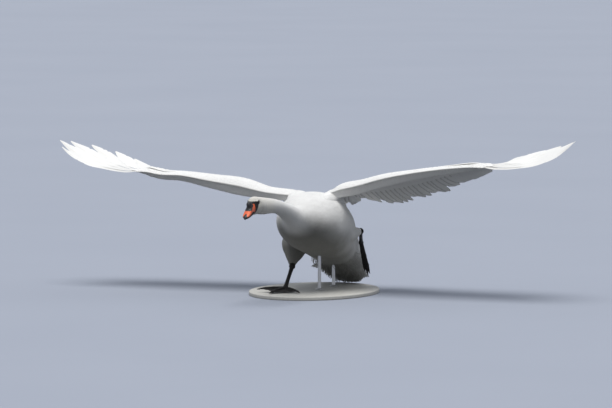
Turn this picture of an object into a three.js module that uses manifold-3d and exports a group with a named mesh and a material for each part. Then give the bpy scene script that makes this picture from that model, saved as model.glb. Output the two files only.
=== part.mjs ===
// Mute swan, adult male, alighting with spread wings: a still, life-size display model.
// Millimetres, +Z up. The bird heads towards -Y and its left wing points to +X.
// The origin lies on the underside of the display base, below the bird's shoulders.
// Heights of the bird are given above the base's top face, and the whole bird is
// lifted by the base's height.

import * as THREE from 'three';
import { mergeVertices } from 'three/addons/utils/BufferGeometryUtils.js';
import Module from 'manifold-3d';

const wasm = await Module();
wasm.setup();

// ---------------------------------------------------------------- driving dimensions

const BASE_HEIGHT = 16;
const BASE_WIDTH = 520;
const BASE_LENGTH = 680;
const BASE_CENTRE = [-25, 110];
const BASE_EDGE = 4;
const ROD_RADIUS = 7;
const ROD_FLANGE_RADIUS = 17;
const ROD_FLANGE_HEIGHT = 5;
const ROD_PLACES = { front: 105, rear: 265 };
const ROD_TOP = 200;

const GAP = 0.35;
const BODY_PITCH = 24.5;
const HEAD_PITCH = 18;
const HEAD_SIDE = -20;
const EYE_Y = -560;
const EYE_HEIGHT = 415;
const EYE_RADIUS = 7.5;
const EYE_OUT = 18.6;
const BILL_END = 105;
const BILL_SIDES = 12;
const KNOB = { along: 46, up: 7, length: 14, height: 13.5, width: 11.5 };

const SECONDARIES = 22;
const PRIMARIES = 10;
const TAIL_FEATHERS = 16;
const TAIL_LENGTH = 212;
const TAIL_PITCH = 31;
const VANE = 1.2;
const NOTCH = 0.04;
const TILE_TILT = 0.15;
const ROOT_GAP = 1;

const WHITE = 0xf1efe8;
const SHADE_WHITE = 0xe4e1d8;
const BILL_ORANGE = 0xd8552c;
const HORN_BLACK = 0x1c1a1b;
const FOOT_BLACK = 0x26262a;
const EYE_BROWN = 0x1d120b;
const STAND_GREY = 0xd2d1cc;

// ---------------------------------------------------------------- small mathematics

const rad = THREE.MathUtils.degToRad;
const lerp = THREE.MathUtils.lerp;

// A smooth function through the rows [x, value]: cubic arcs with shared slopes.
function curveThrough(rows) {
  const x = rows.map((row) => row[0]);
  const y = rows.map((row) => row[1]);
  const last = x.length - 1;
  const chord = (i) => (y[i + 1] - y[i]) / (x[i + 1] - x[i]);
  const slope = x.map((_, i) => {
    if (i === 0) return chord(0);
    if (i === last) return chord(last - 1);
    const before = x[i] - x[i - 1];
    const after = x[i + 1] - x[i];
    return (chord(i - 1) * after + chord(i) * before) / (before + after);
  });
  return (at) => {
    const p = Math.min(Math.max(at, x[0]), x[last]);
    let i = 0;
    while (i < last - 1 && p > x[i + 1]) i += 1;
    const h = x[i + 1] - x[i];
    const t = (p - x[i]) / h;
    const t2 = t * t;
    const t3 = t2 * t;
    return (2 * t3 - 3 * t2 + 1) * y[i] + (t3 - 2 * t2 + t) * h * slope[i]
      + (3 * t2 - 2 * t3) * y[i + 1] + (t3 - t2) * h * slope[i + 1];
  };
}

// The same for a table with several columns: a function that gives one value per column.
function tableThrough(places, rows) {
  const columns = rows[0].map((_, c) => curveThrough(rows.map((row, i) => [places[i], row[c]])));
  return (at) => columns.map((column) => column(at));
}

const range = (count) => Array.from({ length: count }, (_, i) => i);
const steps = (from, to, count) => range(count + 1).map((i) => lerp(from, to, i / count));
const vector = ([x, y, z]) => new THREE.Vector3(x, y, z);

// ---------------------------------------------------------------- solids

// A closed skin over equal loops of points. Each end is closed with strips between the
// first and last points of its loop, the second and last but one, and so on.
function loft(loops) {
  const sides = loops[0].length;
  const faces = [];
  for (let i = 0; i < loops.length - 1; i += 1) {
    for (let j = 0; j < sides; j += 1) {
      const k = (j + 1) % sides;
      const a = i * sides + j;
      const b = i * sides + k;
      faces.push(a, b, b + sides, a, b + sides, a + sides);
    }
  }
  const top = (loops.length - 1) * sides;
  for (let j = 0; j < Math.floor((sides - 1) / 2); j += 1) {
    const [a, b, c, d] = [j, j + 1, sides - 2 - j, sides - 1 - j];
    faces.push(a, d, c, top + a, top + c, top + d);
    if (b !== c) faces.push(a, c, b, top + a, top + b, top + c);
  }
  return solid(loops.flat(), faces);
}

// A solid from points and faces. Faces that came out inside out are turned round.
function solid(points, faces) {
  const geometry = new THREE.BufferGeometry();
  const places = points.flatMap((point) => point.toArray());
  geometry.setAttribute('position', new THREE.Float32BufferAttribute(places, 3));
  geometry.setIndex(faces);
  let volume = 0;
  for (let f = 0; f < faces.length; f += 3) {
    const [a, b, c] = [points[faces[f]], points[faces[f + 1]], points[faces[f + 2]]];
    volume += a.dot(b.clone().cross(c)) / 6;
  }
  if (volume < 0) geometry.setIndex(faces.map((_, f) => faces[f - (f % 3) + 2 - (f % 3)]));
  return toManifold(geometry);
}

function toManifold(geometry) {
  const bare = geometry.clone();
  bare.deleteAttribute('normal');
  bare.deleteAttribute('uv');
  const merged = mergeVertices(bare, 1e-3);
  return new wasm.Manifold(new wasm.Mesh({
    numProp: 3,
    vertProperties: Float32Array.from(merged.attributes.position.array),
    triVerts: Uint32Array.from(merged.index.array),
  }));
}

function toGeometry(manifold) {
  const mesh = manifold.getMesh();
  const geometry = new THREE.BufferGeometry();
  geometry.setAttribute('position', new THREE.BufferAttribute(Float32Array.from(mesh.vertProperties), 3));
  geometry.setIndex(Array.from(mesh.triVerts));
  return mergeVertices(geometry, 1e-3);
}

const joined = (parts) => parts.reduce((sum, part) => sum.add(part));
const without = (part, cutters) => cutters.reduce((rest, cutter) => rest.subtract(cutter), part);

// The largest connected body of a cut solid.
function mainBody(manifold) {
  const bodies = manifold.decompose();
  return bodies.sort((a, b) => b.getMesh().triVerts.length - a.getMesh().triVerts.length)[0];
}

const swan = new THREE.Group();
const bird = new THREE.Group();
bird.position.z = BASE_HEIGHT;
swan.add(bird);

const materials = {};
function finish(colour, roughness) {
  const key = `${colour}-${roughness}`;
  materials[key] ??= new THREE.MeshStandardMaterial({ color: colour, roughness, metalness: 0 });
  return materials[key];
}

function addPiece(group, name, manifold, material) {
  const mesh = new THREE.Mesh(toGeometry(manifold), material);
  mesh.name = name;
  group.add(mesh);
}

// ---------------------------------------------------------------- body of the bird

// One run of sections from the bill's base to the end of the undertail coverts.
// Each row: Y and height of the section's middle, tilt, reach up, reach down, half-width.
const pitch = rad(BODY_PITCH);
const TRUNK_ORIGIN_HEIGHT = 300;

// A section of the trunk, from its place along the pitched body axis.
function trunkRow(along, top, bottom, halfWidth) {
  const middle = (top + bottom) / 2;
  const half = (top - bottom) / 2;
  const y = along * Math.cos(pitch) + middle * Math.sin(pitch);
  const height = TRUNK_ORIGIN_HEIGHT - along * Math.sin(pitch) + middle * Math.cos(pitch);
  return [y, height, BODY_PITCH, half, half, halfWidth];
}

// A place in the head's own frame: how far in front of the eyes and above them.
const headPitch = rad(HEAD_PITCH);
function inHead(along, up, side = 0) {
  return new THREE.Vector3(
    HEAD_SIDE + side,
    EYE_Y - along * Math.cos(headPitch) - up * Math.sin(headPitch),
    EYE_HEIGHT - along * Math.sin(headPitch) + up * Math.cos(headPitch),
  );
}

function headRow(along, top, bottom, halfWidth) {
  const middle = inHead(along, (top + bottom) / 2);
  const half = (top - bottom) / 2;
  return [middle.y, middle.z, -HEAD_PITCH, half, half, halfWidth];
}

const bodyRows = [
  headRow(35, 9, -40, 18),
  headRow(27, 15, -45, 21),
  headRow(14, 18.6, -50, 25),
  headRow(0, 18.8, -54, 28),
  headRow(-19, 16, -57, 30.5),
  [-516, 397.5, -12, 36.5, 36.5, 32],
  [-488, 394, -5, 35.5, 35.5, 31.5],
  [-440, 390, 3, 33, 33, 29.5],
  [-385, 386, 8, 30, 30, 28.5],
  [-330, 378.5, 12, 28.5, 28.5, 28],
  [-275, 364, 17, 30, 31, 31],
  [-220, 345, 21, 36, 39, 38],
  [-176, 327, 23.5, 43, 49, 52],
  trunkRow(-137, 32, -104, 73),
  trunkRow(-108, 61, -109, 97),
  trunkRow(-78, 84, -116, 117),
  trunkRow(-40, 108, -120, 133),
  trunkRow(0, 125, -122, 142),
  trunkRow(50, 133, -119, 145),
  trunkRow(100, 134, -111, 144),
  trunkRow(155, 129, -102, 138),
  trunkRow(212, 120, -94, 126),
  trunkRow(275, 106, -87, 112),
  trunkRow(330, 91, -83, 103),
  trunkRow(382, 73, -81, 96),
  trunkRow(430, 53, -79, 91),
  trunkRow(478, 30, -77, 86),
  trunkRow(518, 6, -73, 75),
  trunkRow(542, -18, -68, 52),
];
const HEAD_END = 5.6;
const NECK_MIDDLE = 9;
const NECK_END = 12.5;
const BODY_END = bodyRows.length - 1;
const bodyTable = tableThrough(range(bodyRows.length), bodyRows);

// The neck and head stand a little to the bird's right of the body's middle.
const bodySide = curveThrough([
  [0, HEAD_SIDE], [6, HEAD_SIDE], [9, -13], [12, -2], [14, 0], [20, 0], [24, -8], [BODY_END, -10],
]);
const bodySquareness = curveThrough([[0, 2.1], [12, 2.05], [17, 2.2], [22, 2.3], [BODY_END, 2.2]]);

// One section of the body: a rounded superellipse in a plane across the body's run.
function bodySection(row, sides, grow = 0, shift = 0) {
  const [y, height, tilt, up, down, halfWidth] = bodyTable(row);
  const power = 2 / bodySquareness(row);
  const lean = rad(tilt);
  return range(sides).map((j) => {
    const angle = (2 * Math.PI * (j + 0.5)) / sides;
    const across = Math.sign(Math.cos(angle)) * Math.abs(Math.cos(angle)) ** power * (halfWidth + grow);
    const reach = Math.sin(angle) > 0 ? up + grow : down + grow;
    const above = Math.sign(Math.sin(angle)) * Math.abs(Math.sin(angle)) ** power * reach;
    return new THREE.Vector3(
      bodySide(row) + across,
      y + above * Math.sin(lean) + shift * Math.cos(lean),
      height + above * Math.cos(lean) - shift * Math.sin(lean),
    );
  });
}

// A length of the body between two rows, drawn back by the gap at its rear end.
function bodyLength(from, to, count, sides, grow = 0) {
  const rows = steps(from, to, count);
  return loft(rows.map((row, i) => bodySection(row, sides, grow, i === count && to < BODY_END ? -GAP : 0)));
}

// A limb or pad with round or oval sections along a smooth path.
// Each row: X, Y, height, half-width, half-thickness. Sections lie across the path.
function limb(rows, count, sides, grow = 0) {
  const table = tableThrough(range(rows.length), rows);
  const last = rows.length - 1;
  return loft(steps(0, last, count).map((at) => {
    const [x, y, z, halfWidth, halfThickness] = table(at);
    const before = vector(table(Math.max(at - 0.05, 0)));
    const along = vector(table(Math.min(at + 0.05, last))).sub(before).normalize();
    const guide = Math.abs(along.x) < 0.9 ? new THREE.Vector3(1, 0, 0) : new THREE.Vector3(0, 1, 0);
    const second = along.clone().cross(guide).normalize();
    const first = second.clone().cross(along).normalize();
    return range(sides).map((j) => {
      const angle = (2 * Math.PI * (j + 0.5)) / sides;
      return new THREE.Vector3(x, y, z)
        .addScaledVector(first, Math.cos(angle) * (halfWidth + grow))
        .addScaledVector(second, Math.sin(angle) * (halfThickness + grow));
    });
  }));
}

// Scapular feathers: a long pad on each side of the back that carries the wing's root.
function scapulars(side, grow) {
  return limb([
    [side * 60, -48, 352, 26, 20],
    [side * 70, -6, 367, 35, 30],
    [side * 74, 60, 372, 38, 30],
    [side * 67, 135, 348, 31, 26],
    [side * 58, 205, 312, 23, 20],
    [side * 50, 255, 276, 11, 10],
  ], 7, 8, grow);
}

// Feathered thighs. The right leg reaches down to stand, the left one trails behind.
const THIGHS = {
  right: [
    [-84, 156, 228, 68, 62],
    [-113, 127, 190, 62, 58],
    [-111, 94, 150, 40, 43],
    [-106, 67, 121, 20, 22],
    [-101, 55, 107, 12.5, 13],
  ],
  left: [
    [92, 118, 222, 48, 46],
    [112, 146, 230, 40, 38],
    [132, 170, 238, 27, 26],
    [146, 184, 243, 15, 15],
    [150, 189, 244, 11.5, 11.5],
  ],
};
const thigh = (name, grow) => limb(THIGHS[name], 6, 10, grow);

function wholeTrunk(grow) {
  const from = NECK_END;
  return joined([
    bodyLength(from, BODY_END, 16, 18, grow),
    scapulars(1, grow),
    scapulars(-1, grow),
  ]);
}

const trunk = wholeTrunk(0);
const trunkKeepOut = wholeTrunk(GAP);
const white = finish(WHITE, 0.85);
const shadeWhite = finish(SHADE_WHITE, 0.85);

addPiece(bird, 'trunk', trunk, white);
addPiece(bird, 'neck_lower', bodyLength(NECK_MIDDLE, NECK_END, 6, 16), white);
addPiece(bird, 'neck_upper', bodyLength(HEAD_END, NECK_MIDDLE, 5, 16), white);

// ---------------------------------------------------------------- head, bill and eyes

function ball(centre, sizes, aroundCount, upCount, tilt = 0) {
  const geometry = new THREE.SphereGeometry(1, aroundCount, upCount);
  geometry.scale(sizes.x, sizes.y, sizes.z);
  geometry.rotateX(tilt);
  geometry.translate(centre.x, centre.y, centre.z);
  return toManifold(geometry);
}

const eyeBall = (side, grow) => {
  const size = EYE_RADIUS + grow;
  return ball(inHead(0, 0, side * EYE_OUT), new THREE.Vector3(size, size, size), 10, 5);
};
addPiece(bird, 'head', without(bodyLength(0, HEAD_END, 9, 16), [eyeBall(1, GAP), eyeBall(-1, GAP)]), white);
addPiece(bird, 'eye_left', eyeBall(1, 0), finish(EYE_BROWN, 0.1));
addPiece(bird, 'eye_right', eyeBall(-1, 0), finish(EYE_BROWN, 0.1));

// A length of the bill in the head's frame. Each row: place, top, bottom, half-width.
function billLength(rows, count, squareness) {
  const table = tableThrough(rows.map((row) => row[0]), rows.map((row) => row.slice(1)));
  return loft(steps(rows[0][0], rows[rows.length - 1][0], count).map((along) => {
    const [top, bottom, halfWidth] = table(along);
    return range(BILL_SIDES).map((j) => {
      const angle = (2 * Math.PI * (j + 0.5)) / BILL_SIDES;
      const across = Math.sign(Math.cos(angle)) * Math.abs(Math.cos(angle)) ** squareness * halfWidth;
      const above = Math.sin(angle) * Math.abs(Math.sin(angle)) ** (squareness - 1);
      return inHead(along, (top + bottom) / 2 + above * ((top - bottom) / 2), across);
    });
  }));
}

const knobSizes = (grow) => new THREE.Vector3(KNOB.width + grow, KNOB.length + grow, KNOB.height + grow);
const knob = (grow) => ball(inHead(KNOB.along, KNOB.up), knobSizes(grow), 12, 7, headPitch);
const headFace = bodyLength(0, 1.6, 2, 16, GAP);

// Upper half: broad at the base, level in front, with a rounded nail hooked at its end.
const upperBill = billLength([
  [35 + GAP, 3, -29, 16.5],
  [50, -1, -29.5, 15.8],
  [65, -8, -30, 15.2],
  [80, -14, -30.4, 15],
  [90, -17.5, -30.8, 14],
  [95, -19.5, -31, 12],
], 6, 0.85);
const nail = billLength([
  [95 + GAP, -19.7, -31.3, 11.4],
  [100, -22, -32, 8.5],
  [103.5, -25, -33, 5],
  [BILL_END, -28, -33, 2],
], 4, 0.9);
const lowerBill = billLength([
  [35 + GAP, -29.4, -39.5, 14.5],
  [55, -30, -38, 13.6],
  [75, -30.8, -36.2, 12.8],
  [90, -31.4, -34.6, 11],
  [94.6, -31.6, -34, 8],
], 4, 0.9);

addPiece(bird, 'bill_upper', without(upperBill, [knob(GAP)]), finish(BILL_ORANGE, 0.45));
addPiece(bird, 'bill_nail', nail, finish(HORN_BLACK, 0.4));
addPiece(bird, 'bill_lower', lowerBill, finish(HORN_BLACK, 0.5));
addPiece(bird, 'bill_knob', without(knob(0), [headFace]), finish(HORN_BLACK, 0.5));

// ---------------------------------------------------------------- wings

// Tables over the distance from the body's middle plane, the same for both wings.
const HALF_SPAN = 1152;
const HAND_END = 770;
const WRIST = 572;
const ARM_ROOT = 62;
const leadingY = curveThrough([
  [60, 26], [110, 16], [210, 0], [310, -12], [450, -32], [WRIST, -45], [730, -42], [900, -30],
  [1030, -15], [HALF_SPAN, 15],
]);
const chordLength = curveThrough([
  [60, 250], [110, 290], [160, 345], [210, 368], [310, 372], [450, 360], [WRIST, 338], [650, 318],
  [730, 300], [900, 243], [1030, 165], [1100, 105], [HALF_SPAN, 24],
]);
// Rear edge of the coverts, where the flight feathers come out.
const covertY = curveThrough([
  [60, 170], [160, 182], [310, 168], [450, 132], [WRIST, 96], [650, 78], [700, 57], [740, 25],
  [HAND_END, -18],
]);

// Heights of each wing: underside of the leading edge, how much the trailing edge
// lies above it, and how much the ridge of the arm stands above the line between them.
const SPAN_PLACES = [60, 110, 210, 310, 450, WRIST, 660, 730, 820, 900, 1030, 1100, HALF_SPAN];
const WINGS = {
  left: {
    side: 1,
    edge: [378, 398, 425, 454, 488, 511, 524, 532, 532, 536, 567, 601, 650],
    rise: [-50, -30, -66, -84, -82, -60, -36, -10, 28, 46, 52, 40, 4],
    ridge: [34, 50, 57, 57, 45, 36, 30, 22, 9, 8, 8, 7, 4],
  },
  right: {
    side: -1,
    edge: [374, 380, 392, 406, 434, 459, 462, 474, 476, 486, 519, 553, 598],
    rise: [-45, -25, -52, -54, -46, -36, -18, -6, 10, 34, 52, 40, 4],
    ridge: [32, 36, 46, 64, 50, 34, 30, 24, 9, 8, 8, 7, 4],
  },
};
const RIDGE_PLACE = 0.2;
const NOSE_LEVEL = 0.36;

// Camber over the chord: the nose's level at the front, one at the ridge, nought at the rear.
function camber(u) {
  if (u < RIDGE_PLACE) {
    const climb = Math.sin((Math.PI / 2) * (u / RIDGE_PLACE)) ** 0.8;
    return NOSE_LEVEL + (1 - NOSE_LEVEL) * climb;
  }
  const rest = (1 - u) / (1 - RIDGE_PLACE);
  return rest * rest * (3 - 2 * rest);
}
// Part of the ridge's height that is solid: the fleshy arm in front, thin feathers behind.
const fleshShare = curveThrough([
  [0, 0], [0.03, 0.62], [0.08, 0.74], [0.14, 0.66], [0.22, 0.46], [0.33, 0.24], [0.46, 0.09],
  [0.6, 0], [1, 0],
]);
const sheetThickness = curveThrough([[0, 0], [0.03, 3], [0.3, 5], [0.5, 4.4], [0.62, 3], [1, 1.4]]);

function makeWing(name) {
  const { side, edge, rise, ridge } = WINGS[name];
  const heights = tableThrough(SPAN_PLACES, SPAN_PLACES.map((_, i) => [edge[i], rise[i], ridge[i]]));
  const shareAt = (x, y) => (y - leadingY(x)) / chordLength(x);
  const topAt = (x, u) => {
    const [base, lift, arch] = heights(x);
    return base + lift * u + arch * camber(u);
  };
  const depthAt = (x, u) => heights(x)[2] * fleshShare(u) + sheetThickness(u);
  const place = (x, y, z) => new THREE.Vector3(side * x, y, z);
  const vaneHeight = (x, y) => {
    const u = Math.max(shareAt(x, y), 0);
    return topAt(x, u) - sheetThickness(Math.max(u, 0.5)) / 2;
  };

  // Arm and hand with their coverts: rounded in front, thin where the flight feathers start.
  const topShares = [1, 0.75, 0.5, 0.32, 0.2, 0.1, 0.04, 0.01];
  const lowShares = [0.01, 0.045, 0.11, 0.2, 0.33, 0.5, 0.74, 1];
  const armSection = (x, grow) => {
    const reach = shareAt(x, covertY(x));
    const crown = topShares.map((share) => [share, grow, 0]);
    const belly = lowShares.map((share) => [share, -grow, 1]);
    return crown.concat(belly).map(([share, lift, depth]) => {
      const u = share * reach;
      const y = leadingY(x) + u * chordLength(x) + grow * (2 * share - 1);
      return place(x, y, topAt(x, u) - depth * depthAt(x, u) + lift);
    });
  };
  const arm = (grow) => loft(steps(ARM_ROOT, WRIST - GAP + grow, 10).map((x) => armSection(x, grow)));
  const hand = (grow) => loft(steps(WRIST - grow, HAND_END + grow, 6).map((x) => armSection(x, grow)));
  addPiece(bird, `wing_${name}_arm`, mainBody(arm(0).subtract(trunkKeepOut)), white);
  addPiece(bird, `wing_${name}_hand`, hand(0), white);
  const wingKeepOut = [arm(GAP), hand(GAP), trunkKeepOut];

  // Secondaries and tertials: one fan with a rounded end to each feather.
  const fanFrom = 96;
  const rootPlace = curveThrough([[0, fanFrom], [SECONDARIES, WRIST + 6]]);
  const tipPlace = curveThrough([[0, 104], [4, 196], [SECONDARIES, 616]]);
  const fanLoops = range(2 * SECONDARIES + 1).map((i) => {
    const at = i / 2;
    const [startX, endX] = [rootPlace(at), tipPlace(at)];
    const [startY, endY] = [covertY(startX) + ROOT_GAP, leadingY(endX) + chordLength(endX)];
    const reach = i % 2 === 0 ? 1 - NOTCH : 1;
    const line = [0, 0.5, 1].map((v) => {
      const x = lerp(startX, endX, v * reach);
      const y = lerp(startY, endY, v * reach);
      return [x, y, vaneHeight(x, y), lerp(2.9, VANE, v) / 2];
    });
    const upper = line.map(([x, y, z, half]) => place(x, y, z + half));
    const lower = line.map(([x, y, z, half]) => place(x, y, z - half)).reverse();
    return upper.concat(lower);
  });
  const secondaries = mainBody(without(loft(fanLoops), wingKeepOut));
  addPiece(bird, `wing_${name}_secondaries`, secondaries, shadeWhite);

  // Primaries: separate blades that spring from one rail along the rear of the hand.
  const railFrom = WRIST + 12;
  const railX = curveThrough([[0, railFrom], [6, 706], [9, 752], [PRIMARIES, HAND_END + 3]]);
  const railY = (x) => (x < HAND_END ? covertY(x) : covertY(HAND_END));
  const railLoop = (at) => {
    const x = railX(at);
    const nearY = railY(x) + ROOT_GAP;
    const z = vaneHeight(Math.min(x, HAND_END), nearY + 5);
    return [[x, nearY, 1.9], [x + 6, nearY + 12, 1.2], [x + 6, nearY + 12, -1.2], [x, nearY, -1.9]]
      .map(([px, py, dz]) => place(px, py, z + dz));
  };
  const rail = loft(steps(0, PRIMARIES, 6).map(railLoop));
  const bladeTips = tableThrough([0.5, 3.5, 5.5, 7.5, 8.5, 9.5], [
    [652, 277], [822, 240], [968, 188], [1124, 72], [1152, 24], [1128, -8],
  ]);
  const blade = (number) => {
    const at = number + 0.5;
    const rootX = railX(at) + 3;
    const rootY = railY(railX(at)) + 3 + ROOT_GAP;
    const [tipX, tipY] = bladeTips(at);
    const reach = Math.hypot(tipX - rootX, tipY - rootY);
    const alongX = (tipX - rootX) / reach;
    const alongY = (tipY - rootY) / reach;
    const halfWidth = curveThrough([
      [0, 10], [0.3, 27], [0.6, 30 - number * 0.6], [0.85, 24 - number], [1, 3],
    ]);
    const bow = (number - 4) * 1.6;
    return loft([0, 0.3, 0.6, 0.85, 1].map((v) => {
      const sweep = bow * Math.sin(Math.PI * v);
      const x = rootX + alongX * reach * v + alongY * -sweep;
      const y = rootY + alongY * reach * v + alongX * sweep;
      const half = halfWidth(v);
      const edgePoint = (share, thick) => {
        const px = x + alongY * half * share;
        const py = y - alongX * half * share;
        return [px, py, vaneHeight(px, py) + share * half * TILE_TILT * Math.min(1, v * 4), thick];
      };
      const front = edgePoint(0.8, 0.4);
      const rear = edgePoint(-1.2, 0.4);
      const upper = [front, edgePoint(0.15, 0.9), rear].map(([px, py, z, thick]) => place(px, py, z + thick));
      const lower = [rear, front].map(([px, py, z, thick]) => place(px, py, z - thick));
      return upper.concat(lower);
    }));
  };
  const primaries = mainBody(without(joined([rail, ...range(PRIMARIES).map(blade)]), wingKeepOut));
  addPiece(bird, `wing_${name}_primaries`, primaries, shadeWhite);

  // Alula: a short stiff blade that stands a little proud of the hand's front.
  const alula = loft([0, 0.25, 0.5, 0.75, 0.92, 1].map((v) => {
    const x = lerp(WRIST + 30, 742, v);
    const middle = leadingY(x) + lerp(34, 46, v);
    const half = 13 * Math.sin(Math.PI * (0.16 + 0.8 * v));
    const rows = [-half, 0, half].map((dy) => {
      const y = middle + dy;
      return [y, topAt(x, shareAt(x, y)) + 1.2 + 7 * v * v];
    });
    const upper = rows.map(([y, z]) => place(x, y, z + 1.6));
    const lower = rows.map(([y, z]) => place(x, y, z)).reverse();
    return upper.concat(lower);
  }));
  addPiece(bird, `wing_${name}_alula`, alula, white);
}

makeWing('left');
makeWing('right');

// ---------------------------------------------------------------- tail

// A fan of feathers round a point in the rump, turned a little to the bird's right.
const TAIL_ROOT = new THREE.Vector3(-8, 372, 128);
const TAIL_SPREAD = 43;
const TAIL_TURN = -20;
const tailPitch = rad(TAIL_PITCH);
function tailPoint(angle, distance, lift) {
  const turn = rad(TAIL_TURN + angle);
  const sideways = Math.sin(turn) * distance;
  const rear = Math.cos(turn) * distance;
  const droop = (Math.abs(angle) / TAIL_SPREAD) ** 2 * distance * 0.1;
  return new THREE.Vector3(
    TAIL_ROOT.x + sideways,
    TAIL_ROOT.y + rear * Math.cos(tailPitch) + lift * Math.sin(tailPitch),
    TAIL_ROOT.z - rear * Math.sin(tailPitch) + lift * Math.cos(tailPitch) - droop,
  );
}
const tailLoops = range(2 * TAIL_FEATHERS + 1).map((i) => {
  const share = i / (2 * TAIL_FEATHERS);
  const angle = lerp(-TAIL_SPREAD, TAIL_SPREAD, share);
  const middle = 1 - (2 * share - 1) ** 2;
  const length = TAIL_LENGTH * (0.9 + 0.1 * middle) * (i % 2 === 0 ? 1 - NOTCH : 1);
  const line = [[26, 4], [length, 0.7]];
  const upper = line.map(([distance, half]) => tailPoint(angle, distance, half));
  const lower = line.map(([distance, half]) => tailPoint(angle, distance, -half)).reverse();
  return upper.concat(lower);
});
addPiece(bird, 'tail', mainBody(loft(tailLoops).subtract(trunkKeepOut)), white);

// ---------------------------------------------------------------- legs

// Each leg: feathered thigh, bare shank, webbed foot with three front toes and a hind toe.
// Toes are given as reaches from the foot joint to the claw's tip.
const LEGS = {
  right: {
    ankle: [-100, 50, 100],
    footJoint: [-101, -22, 18],
    sole: true,
    toes: [[-90, -92, -2.5], [-14, -145, -12.5], [94, -72, -12.5]],
    hind: [12, 30, -5],
  },
  left: {
    ankle: [150, 192, 243],
    footJoint: [117, 282, 188],
    sole: false,
    toes: [[32, 28, -134], [18, 42, -144], [2, 40, -124]],
    hind: [-6, 16, 18],
  },
};
const footBlack = finish(FOOT_BLACK, 0.6);

// A toe: an oval rod from the foot joint that thins towards its claw.
function toe(from, to, thick, arch) {
  const sizes = [[0, 1], [0.45, 0.85], [0.82, 0.66], [0.93, 0.42], [1, 0.14]];
  const rows = sizes.map(([v, size]) => {
    const point = from.clone().lerp(to, v);
    return [point.x, point.y, point.z + arch * Math.sin(Math.PI * v), size * thick, size * thick];
  });
  return limb(rows, 4, 6);
}

// Web between two toes: a thin sheet with a hollowed front edge.
function web(joint, first, second, dip) {
  const halfSheet = 1.3;
  const normal = first.clone().sub(joint).cross(second.clone().sub(joint)).normalize();
  const rim = [0, 0.25, 0.5, 0.75, 1].map((v) => {
    const stretch = 0.86 * (1 - 0.2 * Math.sin(Math.PI * v));
    const point = first.clone().lerp(second, v).sub(joint).multiplyScalar(stretch).add(joint);
    return point.addScaledVector(normal, dip * Math.sin(Math.PI * v));
  });
  const loops = rim.map((point) => [0.12, 1].map((share) => joint.clone().lerp(point, share)));
  return loft(loops.map((loop) => {
    const upper = loop.map((point) => point.clone().addScaledVector(normal, halfSheet));
    const lower = loop.map((point) => point.clone().addScaledVector(normal, -halfSheet)).reverse();
    return upper.concat(lower);
  }));
}

// A flat slab in the frame of the bird, used to trim the standing foot level.
function slab(centre, sizes) {
  const geometry = new THREE.BoxGeometry(...sizes);
  geometry.translate(...centre);
  return toManifold(geometry);
}

function makeLeg(name) {
  const { ankle, footJoint, sole, toes, hind } = LEGS[name];
  const top = vector(ankle);
  const joint = vector(footJoint);
  const down = joint.clone().sub(top).normalize();
  const at = (distance) => top.clone().addScaledVector(down, distance).toArray();
  const length = top.distanceTo(joint);
  const shankRows = [
    [...at(-9), 10, 11], [...at(0), 11, 12.5], [...at(14), 8.6, 10.4],
    [...at(0.5 * length), 7.4, 9.4], [...at(length - 14), 8.2, 9.6], [...at(length - 4), 10, 9.6],
  ];
  const shank = limb(shankRows, 7, 8);
  const shankKeepOut = limb(shankRows, 7, 8, GAP);
  const thighBody = mainBody(without(thigh(name, 0), [trunkKeepOut, shankKeepOut]));
  addPiece(bird, `thigh_${name}`, thighBody, white);

  const tips = toes.map((reach) => joint.clone().add(vector(reach)));
  const heel = joint.clone().addScaledVector(down, 3);
  const parts = tips.map((tip, i) => toe(heel, tip, i === 1 ? 7.4 : 6.8, sole ? 3 : 0));
  parts.push(web(heel, tips[0], tips[1], sole ? -1.5 : 4));
  parts.push(web(heel, tips[1], tips[2], sole ? -1.5 : 4));
  parts.push(toe(heel, joint.clone().add(vector(hind)), 4.6, 0));
  parts.push(ball(heel, new THREE.Vector3(10.5, 10.5, 10), 8, 4));
  let foot = joined(parts).subtract(shankKeepOut);
  if (sole) foot = foot.subtract(slab([joint.x, joint.y, -50 + GAP], [400, 400, 100]));
  addPiece(bird, `shank_${name}`, shank, footBlack);
  addPiece(bird, `foot_${name}`, mainBody(foot), footBlack);
}

makeLeg('right');
makeLeg('left');

// ---------------------------------------------------------------- display stand

function ovalPlate() {
  const shape = new THREE.Shape();
  shape.absellipse(0, 0, BASE_WIDTH / 2 - BASE_EDGE, BASE_LENGTH / 2 - BASE_EDGE, 0, 2 * Math.PI);
  const geometry = new THREE.ExtrudeGeometry(shape, {
    depth: BASE_HEIGHT - 2 * BASE_EDGE,
    bevelThickness: BASE_EDGE,
    bevelSize: BASE_EDGE,
    bevelSegments: 1,
    curveSegments: 16,
  });
  geometry.translate(...BASE_CENTRE, BASE_EDGE);
  return toManifold(geometry);
}

function rod(y) {
  const profile = [
    [0, 0], [ROD_FLANGE_RADIUS, 0], [ROD_FLANGE_RADIUS, 3], [ROD_FLANGE_RADIUS - 2, ROD_FLANGE_HEIGHT],
    [ROD_RADIUS, ROD_FLANGE_HEIGHT], [ROD_RADIUS, ROD_TOP], [0, ROD_TOP],
  ].map(([x, z]) => new THREE.Vector2(x, z));
  const geometry = new THREE.LatheGeometry(profile, 12);
  geometry.rotateX(Math.PI / 2);
  geometry.translate(0, y, GAP);
  return mainBody(toManifold(geometry).subtract(trunkKeepOut));
}

const standGrey = finish(STAND_GREY, 0.55);
addPiece(swan, 'stand_base', ovalPlate(), standGrey);
Object.entries(ROD_PLACES).forEach(([name, y]) => {
  addPiece(bird, `stand_rod_${name}`, rod(y), finish(STAND_GREY, 0.35));
});

export default swan;
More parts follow.
